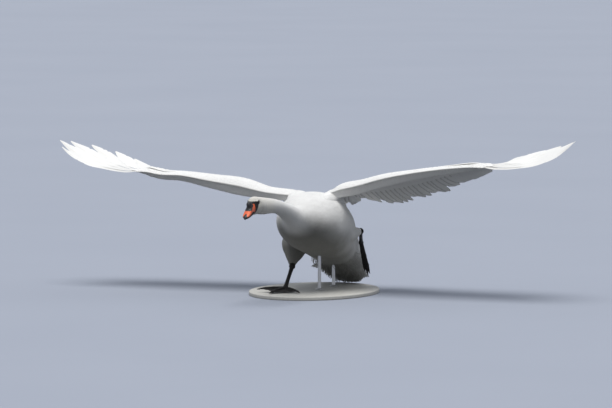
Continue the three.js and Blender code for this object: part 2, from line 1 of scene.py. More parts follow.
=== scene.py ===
"""Adult mute swan touching down with spread wings: the looks of the model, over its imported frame.

Shapes are surfaces worked out on whole grids. The bird's own tables are in millimetres, with
heights above the top of the display base; to_metres() turns them into the frame's metres.
The bird heads towards -Y, its left wing points to +X.
"""
import bpy
import numpy as np
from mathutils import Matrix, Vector


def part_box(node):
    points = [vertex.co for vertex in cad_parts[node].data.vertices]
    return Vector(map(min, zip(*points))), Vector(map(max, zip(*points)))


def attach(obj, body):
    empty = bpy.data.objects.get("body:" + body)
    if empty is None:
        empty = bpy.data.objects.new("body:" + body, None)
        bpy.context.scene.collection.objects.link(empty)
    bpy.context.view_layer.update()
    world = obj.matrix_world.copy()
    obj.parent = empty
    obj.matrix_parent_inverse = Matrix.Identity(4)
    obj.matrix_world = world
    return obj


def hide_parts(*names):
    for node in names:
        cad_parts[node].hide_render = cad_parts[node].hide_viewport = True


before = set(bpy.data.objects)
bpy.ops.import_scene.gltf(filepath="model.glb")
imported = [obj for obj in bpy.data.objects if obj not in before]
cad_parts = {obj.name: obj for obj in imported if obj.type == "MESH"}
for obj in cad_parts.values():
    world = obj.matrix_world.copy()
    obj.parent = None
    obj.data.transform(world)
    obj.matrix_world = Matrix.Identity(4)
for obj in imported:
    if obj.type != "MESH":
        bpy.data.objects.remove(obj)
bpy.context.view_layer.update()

# ---------------- sizes, in millimetres

MM = 0.001
BASE_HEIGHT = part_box("stand_base")[1][2] / MM
SIDES = {"left": 1, "right": -1}
TURN = 2 * np.pi

BODY_PITCH = 24.5
TRUNK_ORIGIN_HEIGHT = 300
HEAD_PITCH = 18
EYE_RADIUS = 7.5
EYE_OUT = 18.6
EYE_OPENING = (6.6, 5.7)      # half-axes of the opening between the lids
KNOB_CENTRE = (45, 6.5)
KNOB_SIZES = (11.5, 15, 13.5)
FACE_HALF = 17.4              # half-width of the face's skin where the bill grows out of it

SECONDARIES = 22
PRIMARIES = 10
RECTRICES = 20
TAIL_LENGTH = 212
TAIL_PITCH = 31
TAIL_SPREAD = 43
TAIL_TURN = -20
TAIL_ROOT = (-8, 372, 128)
HALF_SPAN = 1152
HAND_END = 770
WRIST = 572
ARM_ROOT = 62

CLEAR = 1.5                   # how near a feather may come to the level of the base's top
SHARP = np.radians(75)        # edges that turn more than this aren't smoothed over
PATCH = 0.003                 # side of one feather's patch on the OFBake map
SHEATH = 10                   # millimetres of feather to one unit of the Vane map


# ---------------- small mathematics

def curve_through(rows):
    """Smooth curve through rows (x, value): a cubic arc between neighbours, with the slope at a
    row the mean of the chords beside it, each weighted by the other's length. Straight beyond
    the ends, along the last slope."""
    x, y = (np.array(column, float) for column in zip(*rows))
    steps = np.diff(x)
    chords = np.diff(y) / steps
    inner = (chords[:-1] * steps[1:] + chords[1:] * steps[:-1]) / (steps[1:] + steps[:-1])
    slopes = np.concatenate([chords[:1], inner, chords[-1:]])

    def value(at):
        at = np.asarray(at, float)
        p = np.clip(at, x[0], x[-1])
        i = np.clip(np.searchsorted(x, p, side="right") - 1, 0, len(x) - 2)
        h = x[i + 1] - x[i]
        t = (p - x[i]) / h
        arc = ((2 * t**3 - 3 * t**2 + 1) * y[i] + (t**3 - 2 * t**2 + t) * h * slopes[i]
               + (3 * t**2 - 2 * t**3) * y[i + 1] + (t**3 - t**2) * h * slopes[i + 1])
        return arc + (at - p) * np.where(at < x[0], slopes[0], slopes[-1])

    return value


def table_through(places, rows):
    """Curves through each column of a table: gives an array with one value per column."""
    columns = [curve_through(list(zip(places, column))) for column in zip(*rows)]
    return lambda at: np.stack([column(at) for column in columns], axis=-1)


def ramp(low, high, x):
    """Nought below low, one above high, and an S-curve 3t^2 - 2t^3 between them."""
    t = np.clip((x - low) / (high - low), 0, 1)
    return t * t * (3 - 2 * t)


def bell(*shares):
    """Bell curve: e to the minus sum of the squared shares."""
    return np.exp(-sum(share ** 2 for share in shares))


def signed_power(value, power):
    """|value|^power with the sign of value."""
    return np.sign(value) * np.abs(value) ** power


def unit(vectors):
    """Vectors scaled to length one."""
    return vectors / np.maximum(np.linalg.norm(vectors, axis=-1, keepdims=True), 1e-9)


def cos_sin(degrees):
    """Cosine and sine of an angle in degrees."""
    return np.cos(np.radians(degrees)), np.sin(np.radians(degrees))


def circle(count):
    """Angles all the way round, evenly spaced."""
    return np.arange(count) * TURN / count


def travel(steps):
    """Distance travelled before each step and after the last."""
    return np.concatenate([[0], np.cumsum(steps)])


def stack(x, y, z):
    """Points from three coordinate arrays of any shapes that fit together."""
    return np.stack(np.broadcast_arrays(x, y, z), axis=-1).astype(float)


def seeded(name):
    """A random generator that depends only on a piece's name."""
    return np.random.default_rng(sum(ord(letter) * (i + 1) for i, letter in enumerate(name)))


# ---------------- meshes

def grid_faces(rows, columns, wrap=False):
    """Quads over a grid of rows by columns of points; with wrap the last column meets the first."""
    i, j = np.meshgrid(np.arange(rows - 1), np.arange(columns - (not wrap)), indexing="ij")
    k = (j + 1) % columns
    corners = [i * columns + j, i * columns + k, (i + 1) * columns + k, (i + 1) * columns + j]
    return np.stack(corners, axis=-1).reshape(-1, 4)


def triangles_of(faces):
    """Quads cut into triangles, two for each."""
    return np.concatenate([faces[:, [0, 1, 2]], faces[:, [0, 2, 3]]])


def volume_of(points, triangles):
    """Enclosed volume: a sixth of the sum of a . (b x c) over the triangles."""
    a, b, c = (points[triangles[:, k]] for k in range(3))
    return np.einsum("ij,ij->i", a, np.cross(b, c)).sum() / 6


def tube_shell(rings):
    """Closed shell over rings of points (rows, sides, 3): quads along it, and a fan from the
    middle of the first and of the last ring."""
    rows, sides = rings.shape[:2]
    j = np.arange(sides)
    k = (j + 1) % sides
    top = (rows - 1) * sides
    fans = [np.stack([np.full(sides, rows * sides), k, j], axis=-1),
            np.stack([np.full(sides, rows * sides + 1), top + j, top + k], axis=-1)]
    points = np.concatenate([rings.reshape(-1, 3), [rings[0].mean(0), rings[-1].mean(0)]])
    return points, np.concatenate([triangles_of(grid_faces(rows, sides, wrap=True)), *fans])


def to_metres(points):
    """From the bird's millimetres above the base to the frame's metres, in one row."""
    return ((points + [0, 0, BASE_HEIGHT]) * MM).astype(np.float32).ravel()


def places_of(obj):
    """An object's points, back in the bird's millimetres."""
    points = np.empty(len(obj.data.vertices) * 3, np.float32)
    obj.data.vertices.foreach_get("co", points)
    return points.reshape(-1, 3) / MM - [0, 0, BASE_HEIGHT]


def joined(shells):
    """Several (points, triangles) shells as one, each turned so that its volume is positive."""
    points, triangles, start = [], [], 0
    for shell_points, shell_triangles in shells:
        turned = volume_of(shell_points, shell_triangles) < 0
        triangles.append((shell_triangles[:, ::-1] if turned else shell_triangles) + start)
        points.append(shell_points)
        start += len(shell_points)
    return np.concatenate(points), np.concatenate(triangles)


def add_values(obj, **values):
    """Named numbers per point."""
    for key, numbers in values.items():
        layer = obj.data.attributes.new(key, "FLOAT", "POINT")
        layer.data.foreach_set("value", np.asarray(numbers, np.float32).ravel())


def make_mesh(name, shells, maps=None, **values):
    """An object from shells in the bird's millimetres. maps are named pairs of map coordinates
    per point, and values named numbers per point."""
    points, triangles = joined(shells)
    mesh = bpy.data.meshes.new(name)
    mesh.vertices.add(len(points))
    mesh.vertices.foreach_set("co", to_metres(points))
    mesh.loops.add(triangles.size)
    mesh.loops.foreach_set("vertex_index", triangles.astype(np.int32).ravel())
    mesh.polygons.add(len(triangles))
    mesh.polygons.foreach_set("loop_start", np.arange(0, triangles.size, 3, dtype=np.int32))
    mesh.update(calc_edges=True)
    mesh.set_sharp_from_angle(angle=SHARP)
    obj = bpy.data.objects.new(name, mesh)
    add_values(obj, **values)
    for key, places in (maps or {}).items():
        layer = mesh.uv_layers.new(name=key)
        layer.uv.foreach_set("vector", places[triangles.ravel()].astype(np.float32).ravel())
    bpy.context.scene.collection.objects.link(obj)
    return obj


def place_piece(obj, material, slot, *nodes):
    """Gives a finished object its material, lets it ride on the bird and stand for its nodes."""
    obj.data.materials.clear()
    obj.data.materials.append(material)
    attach(obj, "root")
    if nodes:
        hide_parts(*nodes)


# ---------------- the bird's surfaces

EYE_MIDDLE = sum(np.array(corner) for eye in ("eye_left", "eye_right")
                 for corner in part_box(eye)) / 4 / MM - [0, 0, BASE_HEIGHT]


def in_head(along, up, side=0.0):
    """A place in the head's frame: millimetres in front of the eyes, above them and to the left."""
    c, s = cos_sin(HEAD_PITCH)
    return stack(EYE_MIDDLE[0] + side, EYE_MIDDLE[1] - along * c - up * s,
                 EYE_MIDDLE[2] - along * s + up * c)


def head_frame(points):
    """The reverse of in_head: how far points lie in front of the eyes, above them and to the left."""
    c, s = cos_sin(HEAD_PITCH)
    x, y, z = np.moveaxis(points - EYE_MIDDLE, -1, 0)
    return -y * c - z * s, -y * s + z * c, x


def head_row(along, top, bottom, half_width):
    """A row of the body's table in the head: section from top to bottom, across the head's run."""
    middle = in_head(along, (top + bottom) / 2)
    half = (top - bottom) / 2
    return [middle[1], middle[2], -HEAD_PITCH, half, half, half_width]


def trunk_row(along, top, bottom, half_width):
    """A row of the body's table in the trunk, from its place along the pitched body axis."""
    c, s = cos_sin(BODY_PITCH)
    middle, half = (top + bottom) / 2, (top - bottom) / 2
    return [along * c + middle * s, TRUNK_ORIGIN_HEIGHT - along * s + middle * c,
            BODY_PITCH, half, half, half_width]


# Sections from the bill's base to the undertail coverts. In head and trunk: place along, top,
# bottom, half-width. In the neck: Y and height of the middle, tilt, reach up and down, half-width.
HEAD_ROWS = ((35, 9, -40, 18), (27, 15, -45, 21), (14, 18.6, -50, 25), (0, 18.8, -54, 28),
             (-19, 16, -57, 30.5))
NECK_ROWS = ((-516, 397.5, -12, 36.5, 36.5, 32), (-488, 394, -5, 35.5, 35.5, 31.5),
             (-440, 390, 3, 33, 33, 29.5), (-385, 386, 8, 30, 30, 28.5),
             (-330, 378.5, 12, 28.5, 28.5, 28), (-275, 364, 17, 30, 31, 31),
             (-220, 345, 21, 36, 39, 38), (-176, 327, 23.5, 43, 49, 52))
TRUNK_ROWS = ((-137, 32, -104, 73), (-108, 61, -109, 97), (-78, 84, -116, 117),
              (-40, 108, -120, 133), (0, 125, -122, 142), (50, 133, -119, 145),
              (100, 134, -111, 144), (155, 129, -102, 138), (212, 120, -94, 126),
              (275, 106, -87, 112), (330, 91, -83, 103), (382, 73, -81, 96),
              (430, 53, -79, 91), (478, 30, -77, 86), (518, 6, -73, 75), (542, -18, -68, 52))
BODY_ROWS = [*(head_row(*row) for row in HEAD_ROWS), *NECK_ROWS, *(trunk_row(*row) for row in TRUNK_ROWS)]
HEAD_END = 5.6
NECK_END = 12.5
BODY_END = len(BODY_ROWS) - 1
body_table = table_through(range(len(BODY_ROWS)), BODY_ROWS)
body_side = curve_through([(0, EYE_MIDDLE[0]), (6, EYE_MIDDLE[0]), (9, -13), (12, -2), (14, 0),
                           (20, 0), (24, -8), (BODY_END, -10)])
body_squareness = curve_through([(0, 2.1), (12, 2.05), (17, 2.2), (22, 2.3), (BODY_END, 2.2)])


def body_surface(row, angle, grow=0.0):
    """Point of the body's outline: a superellipse across the body's run at that row, with angle
    nought to the bird's left and a quarter turn up, its half-axes longer by grow."""
    y, height, tilt, up, down, half = np.moveaxis(body_table(row), -1, 0)
    power = 2 / body_squareness(row)
    c, s = cos_sin(tilt)
    across = signed_power(np.cos(angle), power) * (half + grow)
    above = signed_power(np.sin(angle), power) * (np.where(np.sin(angle) > 0, up, down) + grow)
    return stack(body_side(row) + across, y + above * s, height + above * c)


def limb_surface(rows):
    """A limb's outline as a function of place along it, angle round it and growth: ovals across
    the smooth path through rows (X, Y, height, half-width, half-thickness)."""
    table = table_through(range(len(rows)), rows)

    def surface(at, angle, grow=0.0):
        at, angle, grow = np.broadcast_arrays(np.asarray(at, float), angle, grow)
        values = table(at)
        along = unit(table(at + 0.05)[..., :3] - table(at - 0.05)[..., :3])
        guide = np.where(np.abs(along[..., :1]) < 0.9, [1.0, 0, 0], [0, 1.0, 0])
        second = unit(np.cross(along, guide))
        first = np.cross(second, along)
        across = (np.cos(angle) * (values[..., 3] + grow))[..., None]
        above = (np.sin(angle) * (values[..., 4] + grow))[..., None]
        return values[..., :3] + first * across + second * above

    return surface


def scapular_rows(side):
    """The pad of long shoulder feathers on one side of the back."""
    return [[side * x, *rest] for x, *rest in (
        (56, -66, 348, 24, 20), (66, -8, 373, 34, 31), (74, 60, 384, 41, 33),
        (67, 135, 359, 34, 29), (58, 205, 318, 25, 21), (50, 255, 276, 11, 10))]


PLAN_STEP = 5
PLAN_X = np.arange(-200, 201, PLAN_STEP)
PLAN_Y = np.arange(-180, 401, PLAN_STEP)
PLAN_FLOOR = 200.0


def plan_of_back():
    """Heights of the back over a plan of squares: the highest of many points of trunk and shoulder
    pads in each square, made smooth by the mean of each square and those beside it."""
    row, angle = np.meshgrid(np.linspace(12, BODY_END, 900), np.linspace(0, np.pi, 700))
    place, turn = np.meshgrid(np.linspace(0, 5, 500), np.linspace(0, TURN, 300))
    points = [body_surface(row, angle).reshape(-1, 3)]
    points += [limb_surface(scapular_rows(side))(place, turn).reshape(-1, 3) for side in (1, -1)]
    x, y, z = np.concatenate(points).T
    plan = np.full((len(PLAN_X) + 2, len(PLAN_Y) + 2), PLAN_FLOOR)
    squares = tuple(np.clip(np.rint((at - plan_at[0]) / PLAN_STEP).astype(int) + 1, 0, len(plan_at) + 1)
                    for at, plan_at in ((x, PLAN_X), (y, PLAN_Y)))
    np.maximum.at(plan, squares, z)
    steps = [slice(0, -2), slice(1, -1), slice(2, None)]
    return sum(plan[i, j] for i in steps for j in steps) / 9


PLAN = plan_of_back()


def back_height(x, y):
    """Height of the back at a place, between the plan's four nearest squares."""
    at_x = np.clip((x - PLAN_X[0]) / PLAN_STEP, 0, len(PLAN_X) - 1.001)
    at_y = np.clip((y - PLAN_Y[0]) / PLAN_STEP, 0, len(PLAN_Y) - 1.001)
    i, j = at_x.astype(int), at_y.astype(int)
    p, q = at_x - i, at_y - j
    return ((PLAN[i, j] * (1 - p) + PLAN[i + 1, j] * p) * (1 - q)
            + (PLAN[i, j + 1] * (1 - p) + PLAN[i + 1, j + 1] * p) * q)


THIGH_ROWS = {
    "right": [(-84, 156, 228, 68, 62), (-113, 127, 190, 62, 58), (-111, 94, 150, 40, 43),
              (-106, 67, 121, 20, 22), (-101, 55, 107, 12.5, 13)],
    "left": [(92, 118, 222, 48, 46), (112, 146, 230, 40, 38), (132, 170, 238, 27, 26),
             (146, 184, 243, 15, 15), (150, 189, 244, 11.5, 11.5)],
}
THIGH_LAST = 4.1                        # last place on a thigh at which its outline is worked out
THIGH_SINK = 42                         # how much it narrows into the body above its first row
CUFF = {"right": 3.8, "left": 2.7}      # how far down each thigh's rows the plumage reaches
BARE_ANKLE = {"right": 24, "left": 33}  # radius round each ankle in which the skin is bare


def thigh_surface(name):
    """A thigh's outline, which narrows above its first row and so sinks into the body, and ends
    soon after its last row."""
    outline = limb_surface(THIGH_ROWS[name])

    def surface(at, angle, grow=0.0):
        at = np.minimum(at, THIGH_LAST)
        return outline(at, angle, grow - THIGH_SINK * ramp(1.3, -1, at))

    return surface


# Wing tables over the distance from the body's middle plane.
leading_y = curve_through([(60, 26), (110, 16), (210, 0), (310, -12), (450, -32), (WRIST, -45),
                           (730, -42), (900, -30), (1030, -15), (HALF_SPAN, 15)])
chord_length = curve_through([(60, 250), (110, 290), (160, 345), (210, 368), (310, 372), (450, 360),
                              (WRIST, 338), (650, 318), (730, 300), (900, 243), (1030, 165),
                              (1100, 105), (HALF_SPAN, 24)])
covert_y = curve_through([(60, 170), (160, 182), (310, 168), (450, 132), (WRIST, 96), (650, 78),
                          (700, 57), (740, 25), (HAND_END, -18)])
SPAN_PLACES = (60, 110, 210, 310, 450, WRIST, 660, 730, 820, 900, 1030, 1100, HALF_SPAN)
# Height of the leading edge's underside, rise to the trailing edge, and ridge of the arm above.
WING_ROWS = {
    "left": ((388, 402, 425, 454, 488, 511, 524, 532, 532, 536, 567, 601, 650),
             (-50, -30, -66, -84, -82, -60, -36, -10, 28, 46, 52, 40, 4),
             (40, 50, 57, 57, 45, 36, 30, 22, 9, 8, 8, 7, 4)),
    "right": ((382, 384, 392, 406, 434, 459, 462, 474, 476, 486, 519, 553, 598),
              (-45, -25, -52, -54, -46, -36, -18, -6, 10, 34, 52, 40, 4),
              (36, 38, 46, 64, 50, 34, 30, 24, 9, 8, 8, 7, 4)),
}
RIDGE_PLACE = 0.2
NOSE_LEVEL = 0.36
ROOT_BEND = (106, 50)         # where the wing bends down onto the back, from the outside in
ROOT_RISE = 5
ROOT_SINK = 20
HAND_TAPER = 60
flesh_share = curve_through([(0, 0), (0.03, 0.62), (0.08, 0.74), (0.14, 0.66), (0.22, 0.46),
                             (0.33, 0.24), (0.46, 0.09), (0.6, 0), (1, 0)])
sheet_thickness = curve_through([(0, 0), (0.03, 3), (0.3, 5), (0.5, 4.4), (0.62, 3), (1, 1.4)])


def camber(u):
    """Height over the chord: the nose's level in front, one at the ridge, nought at the rear."""
    climb = np.sin(np.pi / 2 * np.clip(u / RIDGE_PLACE, 0, 1)) ** 0.8
    fall = ramp(1, RIDGE_PLACE, u)
    return np.where(u < RIDGE_PLACE, NOSE_LEVEL + (1 - NOSE_LEVEL) * climb, fall)


class Wing:
    """One wing's surfaces over distance out from the body's middle plane and distance back."""

    def __init__(self, name):
        self.side = SIDES[name]
        self.heights = table_through(SPAN_PLACES, zip(*WING_ROWS[name]))

    def share(self, x, y):
        """Part of the chord that lies in front of y."""
        return (y - leading_y(x)) / chord_length(x)

    def top(self, x, u):
        """Height of the upper side at a share u of the chord. Near the body it bends down and
        sinks into the back."""
        base, rise, ridge = np.moveaxis(self.heights(x), -1, 0)
        spread = base + rise * u + ridge * camber(u)
        back = back_height(self.side * x, leading_y(x) + u * chord_length(x))
        back = back + ROOT_RISE - ROOT_SINK * ramp(62, 40, x)
        return spread + ramp(*ROOT_BEND, x) * np.minimum(back - spread, 0)

    def depth(self, x, u):
        """Thickness of the wing at a share u of the chord, less towards the end of the hand."""
        u = np.clip(u, 0, 1)
        flesh = np.sqrt(np.clip((HAND_END - x) / HAND_TAPER, 0, 1))
        return self.heights(x)[..., 2] * flesh_share(u) * flesh + sheet_thickness(u) * (0.5 + 0.5 * flesh)

    def upper(self, y, x, grow=0.0):
        """The upper side, at y behind the shoulder line and x out, raised by grow."""
        return stack(self.side * x, y, self.top(x, np.maximum(self.share(x, y), 0)) + grow)

    def lower(self, y, x, grow=0.0):
        """The lower side, dropped by grow."""
        u = np.maximum(self.share(x, y), 0)
        return stack(self.side * x, y, self.top(x, u) - self.depth(x, u) - grow)

    def vane(self, x, y):
        """Height of the middle of the sheet of flight feathers."""
        u = np.maximum(self.share(x, y), 0)
        return self.top(x, u) - sheet_thickness(np.clip(u, 0.5, 1)) / 2

    def arm_rings(self, xs, inset, points=22):
        """Sections of the arm and hand across the chord, drawn in by inset: the upper side from
        the rear to the nose, then the lower side back again."""
        share = np.concatenate([np.linspace(1, 0, points), np.linspace(0.02, 1, points)]) ** 1.6
        u = share * self.share(xs, covert_y(xs))[:, None]
        x = np.broadcast_to(xs[:, None], u.shape)
        y = leading_y(x) + u * chord_length(x) + inset * (1 - 2 * share)
        depth = self.depth(x, u)
        drawn = np.minimum(inset, depth * 0.45)
        under = np.arange(2 * points) >= points
        return stack(self.side * x, y, self.top(x, u) - np.where(under, depth - drawn, drawn))


WINGS = {name: Wing(name) for name in SIDES}


# ---------------- markings

def bare_face(points):
    """Where the face is bare black skin: the lores, from a point behind the eye widening to the
    bill's base between knob and gape, and a ring round the eye. One inside, nought outside."""
    along, up, side = head_frame(points)
    run = along + 6
    upper = ramp(-0.6, 0.6, 2.2 + 0.34 * run - up)
    lower = ramp(-0.6, 0.6, up + 2.0 + 0.30 * run + 0.0205 * run * run)
    lores = upper * lower * ramp(-0.5, 0.5, run)
    ring = ramp(1.1, 0.9, np.hypot(along / 9.4, up / 8.2)) * (np.abs(side) > 14)
    brow = ramp(27.0, 28.2, along - 0.25 * (up - 8)) * ramp(-1, 1, up + 6)
    return np.max([lores, ring, brow], axis=0)


def orange_base(points):
    """Where the bill's orange reaches back over the sides of the face."""
    along, up, side = head_frame(points)
    behind = ramp(-0.5, 0.5, along - 29.6 - 0.137 * (3 - up))
    return behind * ramp(5.0, 4.0, up) * ramp(-38.5, -37.5, up) * (np.abs(side) > 3)


def bill_black(points):
    """Black on the upper bill: its cutting edge, the skin round each nostril and up to the knob,
    and the tip round the nail."""
    along, up, side = head_frame(points)
    edge = ramp(-25.4, -26.6, up - 0.02 * (along - 60))
    patch = ramp(1.12, 0.94, np.hypot((along - 60) / 12, (up + 6.2 + 0.3 * (along - 60)) / 4.6))
    saddle = ramp(-0.8, 0.8, up + 5.5 + 0.62 * (along - 46)) * ramp(66, 63, along)
    tip = ramp(1.1, 0.95, np.hypot((along - 103) / 9, side / 8.6)) * ramp(84, 88, along)
    return np.max([edge, patch, saddle, tip], axis=0)


# ---------------- feathers

class Vane:
    """The outline of a small feather on a grid of stations from root to tip: each has its place
    along, its half-width and how far its sides lag behind its middle, as shares of the feather.
    The upper face has that grid; the lower face joins its two edges, and both ends are closed."""

    def __init__(self, stations, across):
        self.along, self.width, self.lag = np.array(stations, float).T[:, :, None]
        self.across = np.array(across)[None, :]
        n, m = len(stations), len(across)
        self.shape = (n, m)
        i = np.arange(n - 1)
        under = np.stack([i * m, (i + 1) * m, (i + 1) * m + m - 1, i * m + m - 1], axis=-1)
        k = np.arange(1, m - 1)
        tail = (n - 1) * m
        root = np.stack([np.zeros_like(k), k + 1, k], axis=-1)
        tip = np.stack([np.full_like(k, tail), tail + k, tail + k + 1], axis=-1)
        self.triangles = np.concatenate([triangles_of(grid_faces(n, m)), triangles_of(under)[:, ::-1],
                                         root, tip])


FIVE = (-1, -0.5, 0, 0.5, 1)
TUFT = Vane([(0, 0.35, 0), (0.4, 1, 0), (0.76, 0.84, 0.03), (1, 0.3, 0.07)], (-1, 0, 1))
SOFT = Vane([(0, 0.3, 0), (0.28, 0.85, 0), (0.6, 1, 0), (0.83, 0.84, 0.03), (1, 0.34, 0.09)], FIVE)
BROAD = Vane([(0, 0.25, 0), (0.15, 0.6, 0), (0.35, 0.9, 0), (0.58, 1, 0), (0.78, 0.95, 0.01),
              (0.91, 0.74, 0.03), (1, 0.32, 0.06)], FIVE)


LENGTH_SPREAD = 0.1           # how much feathers differ in length, as a share of it
TURN_SPREAD = 0.09            # in the way they lie, in radians
TIP_SPREAD = 0.35             # in the height of the tip, in millimetres
ROLL_SPREAD = 0.03            # in roll, as a slope
END_SPREAD = 0.05             # in the length of each part of the ragged end, as a share
STAGGER = 0.22                # how far a root may be off its place in its row, in spacings


class Coat:
    """Feathers gathered for one piece: their shells, and for each point its feather's tone, how
    far along the feather it is, and its places on the two maps."""

    def __init__(self, name):
        self.name = name
        self.random = seeded(name)
        self.shells = []
        self.values = []

    def lay(self, surface, vane, a, b, length, width, turn, root, tip, crown, spans,
            tone=(0, 1), bend=0.0, loose=1.0, roll=0.0):
        """Lays one feather at each root (a, b) of a surface. Its points are at a distance t times
        its length along the lie and w times its half-width across it, turned by turn from the
        way in which a grows, and raised from root to tip by a power of t, with a crown over its
        middle and a roll to one side, which lays one feather over its neighbour. The steps in a
        and b come from the surface's own stretch at the root. None hangs lower than CLEAR."""
        a, b, length, width, turn, root, tip, crown, bend = (
            v.reshape(-1, 1, 1).astype(float) for v in
            np.broadcast_arrays(a, b, length, width, turn, root, tip, crown, bend))
        count, random = len(a), self.random
        length = length * (1 + LENGTH_SPREAD * loose * random.uniform(-1, 1, a.shape))
        turn = turn + TURN_SPREAD * loose * random.uniform(-1, 1, a.shape)
        tip = tip + TIP_SPREAD * loose * random.uniform(-1, 1, a.shape) ** 3
        (a_low, a_high), (b_low, b_high) = spans
        e, f = 1e-3 * (a_high - a_low), 1e-3 * (b_high - b_low)
        stretch_a = np.linalg.norm(surface(a + e, b) - surface(a - e, b), axis=-1) / (2 * e)
        stretch_b = np.linalg.norm(surface(a, b + f) - surface(a, b - f), axis=-1) / (2 * f)
        t = (vane.along - vane.lag * vane.across ** 2)[None]
        w = (vane.width * vane.across)[None]
        ragged = 1 + END_SPREAD * random.uniform(-1, 1, (count, *vane.shape)) * (vane.along > 0.7)[None]
        d = t * ragged * length
        side = w * width / 2 + bend * t * t
        c, s = np.cos(turn), np.sin(turn)
        roll = roll + ROLL_SPREAD * loose * random.uniform(-1, 1, a.shape)
        grow = (root + (tip - root) * np.maximum(t, 0) ** 0.6 + crown * (1 - vane.across[None] ** 2)
                + roll * w * width / 2)
        points = surface(a + (d * c - side * s) / stretch_a, b + (d * s + side * c) / stretch_b, grow)
        points = points.reshape(-1, 3)
        points[:, 2] = np.maximum(points[:, 2], CLEAR)
        size = w.size
        triangles = vane.triangles[None] + (np.arange(count) * size)[:, None, None]
        own = np.repeat(random.uniform(*tone, count), size)
        u = np.clip((b - b_low) / (b_high - b_low), 0.002, 0.998) + PATCH * 0.5 * w + 0 * t
        v = np.clip((a - a_low) / (a_high - a_low), 0.002, 0.998) + PATCH * (t - 0.5) + 0 * w
        self.shells.append((points, triangles.reshape(-1, 3)))
        bake, barbs = (np.stack(pair, axis=-1).reshape(-1, 2)
                       for pair in ((u, v), (side / SHEATH, d / SHEATH)))
        self.values.append((own, np.broadcast_to(t, d.shape).ravel(), bake, barbs))

    def build(self, finish):
        """One object of all the feathers laid so far."""
        tone, reach, bake, barbs = (np.concatenate(column) for column in zip(*self.values))
        maps = {"OFBake": bake, "Vane": barbs}
        place_piece(make_mesh(self.name, self.shells, maps, tone=tone, reach=reach), finish, "plumage")


def tiles(surface, places, gaps, b_from, b_to, random, closed=False):
    """Roots in rows across a surface, one row at each place, spaced by its gap in millimetres and
    staggered from row to row, each moved at random by a part of its spacing."""
    roots = []
    for number, (place, gap) in enumerate(zip(places, gaps)):
        b = np.linspace(b_from, b_to, 60)
        travelled = travel(np.linalg.norm(np.diff(surface(np.full(60, place), b), axis=0), axis=-1))
        count = max(int(round(travelled[-1] / gap)), 1)
        if closed:
            steps = (np.arange(count) + (0.25 if number % 2 else 0.75)) / count
        else:
            steps = np.linspace(0, 1, count + 1)
            steps = (steps[:-1] + steps[1:]) / 2 if number % 2 else steps
        steps = steps + STAGGER * random.uniform(-1, 1, len(steps)) / count
        b_roots = np.interp(steps * travelled[-1], travelled, b)
        roots.append(np.stack(np.broadcast_arrays(place, b_roots, gap)))
    return np.concatenate(roots, axis=1)


def places_by_exposure(surface, sides, exposure, start, end):
    """Places from start to end along a surface's first parameter, each one exposure(place)
    millimetres beyond the last on the longest of its sides, given by the second parameter."""
    grid = np.linspace(start, end, 600)
    lines = surface(grid[:, None], np.array(sides)[None, :])
    travelled = travel(np.linalg.norm(np.diff(lines, axis=0), axis=-1).max(axis=-1))
    count = travel(np.diff(travelled) / exposure((grid[1:] + grid[:-1]) / 2))
    return np.interp(np.arange(int(count[-1]) + 1), count, grid)


# ---------------- skin

FLESH_NODES = ("trunk", "neck_lower", "neck_upper", "head", "thigh_left", "thigh_right",
               "wing_left_arm", "wing_left_hand", "wing_right_arm", "wing_right_hand")
coat_depth = curve_through([(-1, 0.3), (0, 0.4), (3, 1.7), (HEAD_END, 2.8), (9, 4.5), (NECK_END, 6.5),
                            (16, 9), (BODY_END, 8.5)])
thigh_coat_depth = curve_through([(-1, 7), (0, 7), (2, 5), (3, 2.2), (4, 0.6)])


def uneven(start, end, count, crowds):
    """Count places from start to end that stand closer by the bell curves (place, width, share)."""
    grid = np.linspace(start, end, 2000)
    density = 1 + sum(share * bell((grid - place) / width) for place, width, share in crowds)
    travelled = travel((density[1:] + density[:-1]) / 2)
    return np.interp(np.linspace(0, travelled[-1], count), travelled, grid)


def face_form(points):
    """Moves head points sideways: in round the eye for its hollow, out for the brow and cheek, in
    along the lores and the gape, and over the eye into a raised lid that opens on the eyeball."""
    along, up, side = head_frame(points)
    out = np.abs(side)
    r = np.hypot(along, up)
    hollow = 1.9 * bell(r / 11.5)
    brow = 1.3 * bell((along + 2) / 11, (up - 9.5) / 4.2)
    cheek = 1.6 * bell((along + 12) / 20, (up + 27) / 13)
    lores = 1.5 * bell((along - 19) / 9, (up + 3 + 0.2 * (along - 19)) / 5)
    gape = 1.4 * bell((up + 36.5 - 0.15 * (along - 30)) / 1.5) * ramp(14, 22, along)
    out = out + ramp(4, 12, out) * (brow + cheek - hollow - lores - gape)
    lid = EYE_OUT + np.sqrt(np.maximum((EYE_RADIUS + 0.75) ** 2 - r * r, 0))
    out = np.where((r < EYE_RADIUS + 0.6) & (out > 10), np.maximum(out, lid), out)
    opening = np.hypot(along / EYE_OPENING[0], up / EYE_OPENING[1])
    sunk = ramp(1.06, 0.94, opening) * (out > 10)
    out = out + sunk * (EYE_OUT - 2 - out)
    return in_head(along, up, np.sign(side) * out)


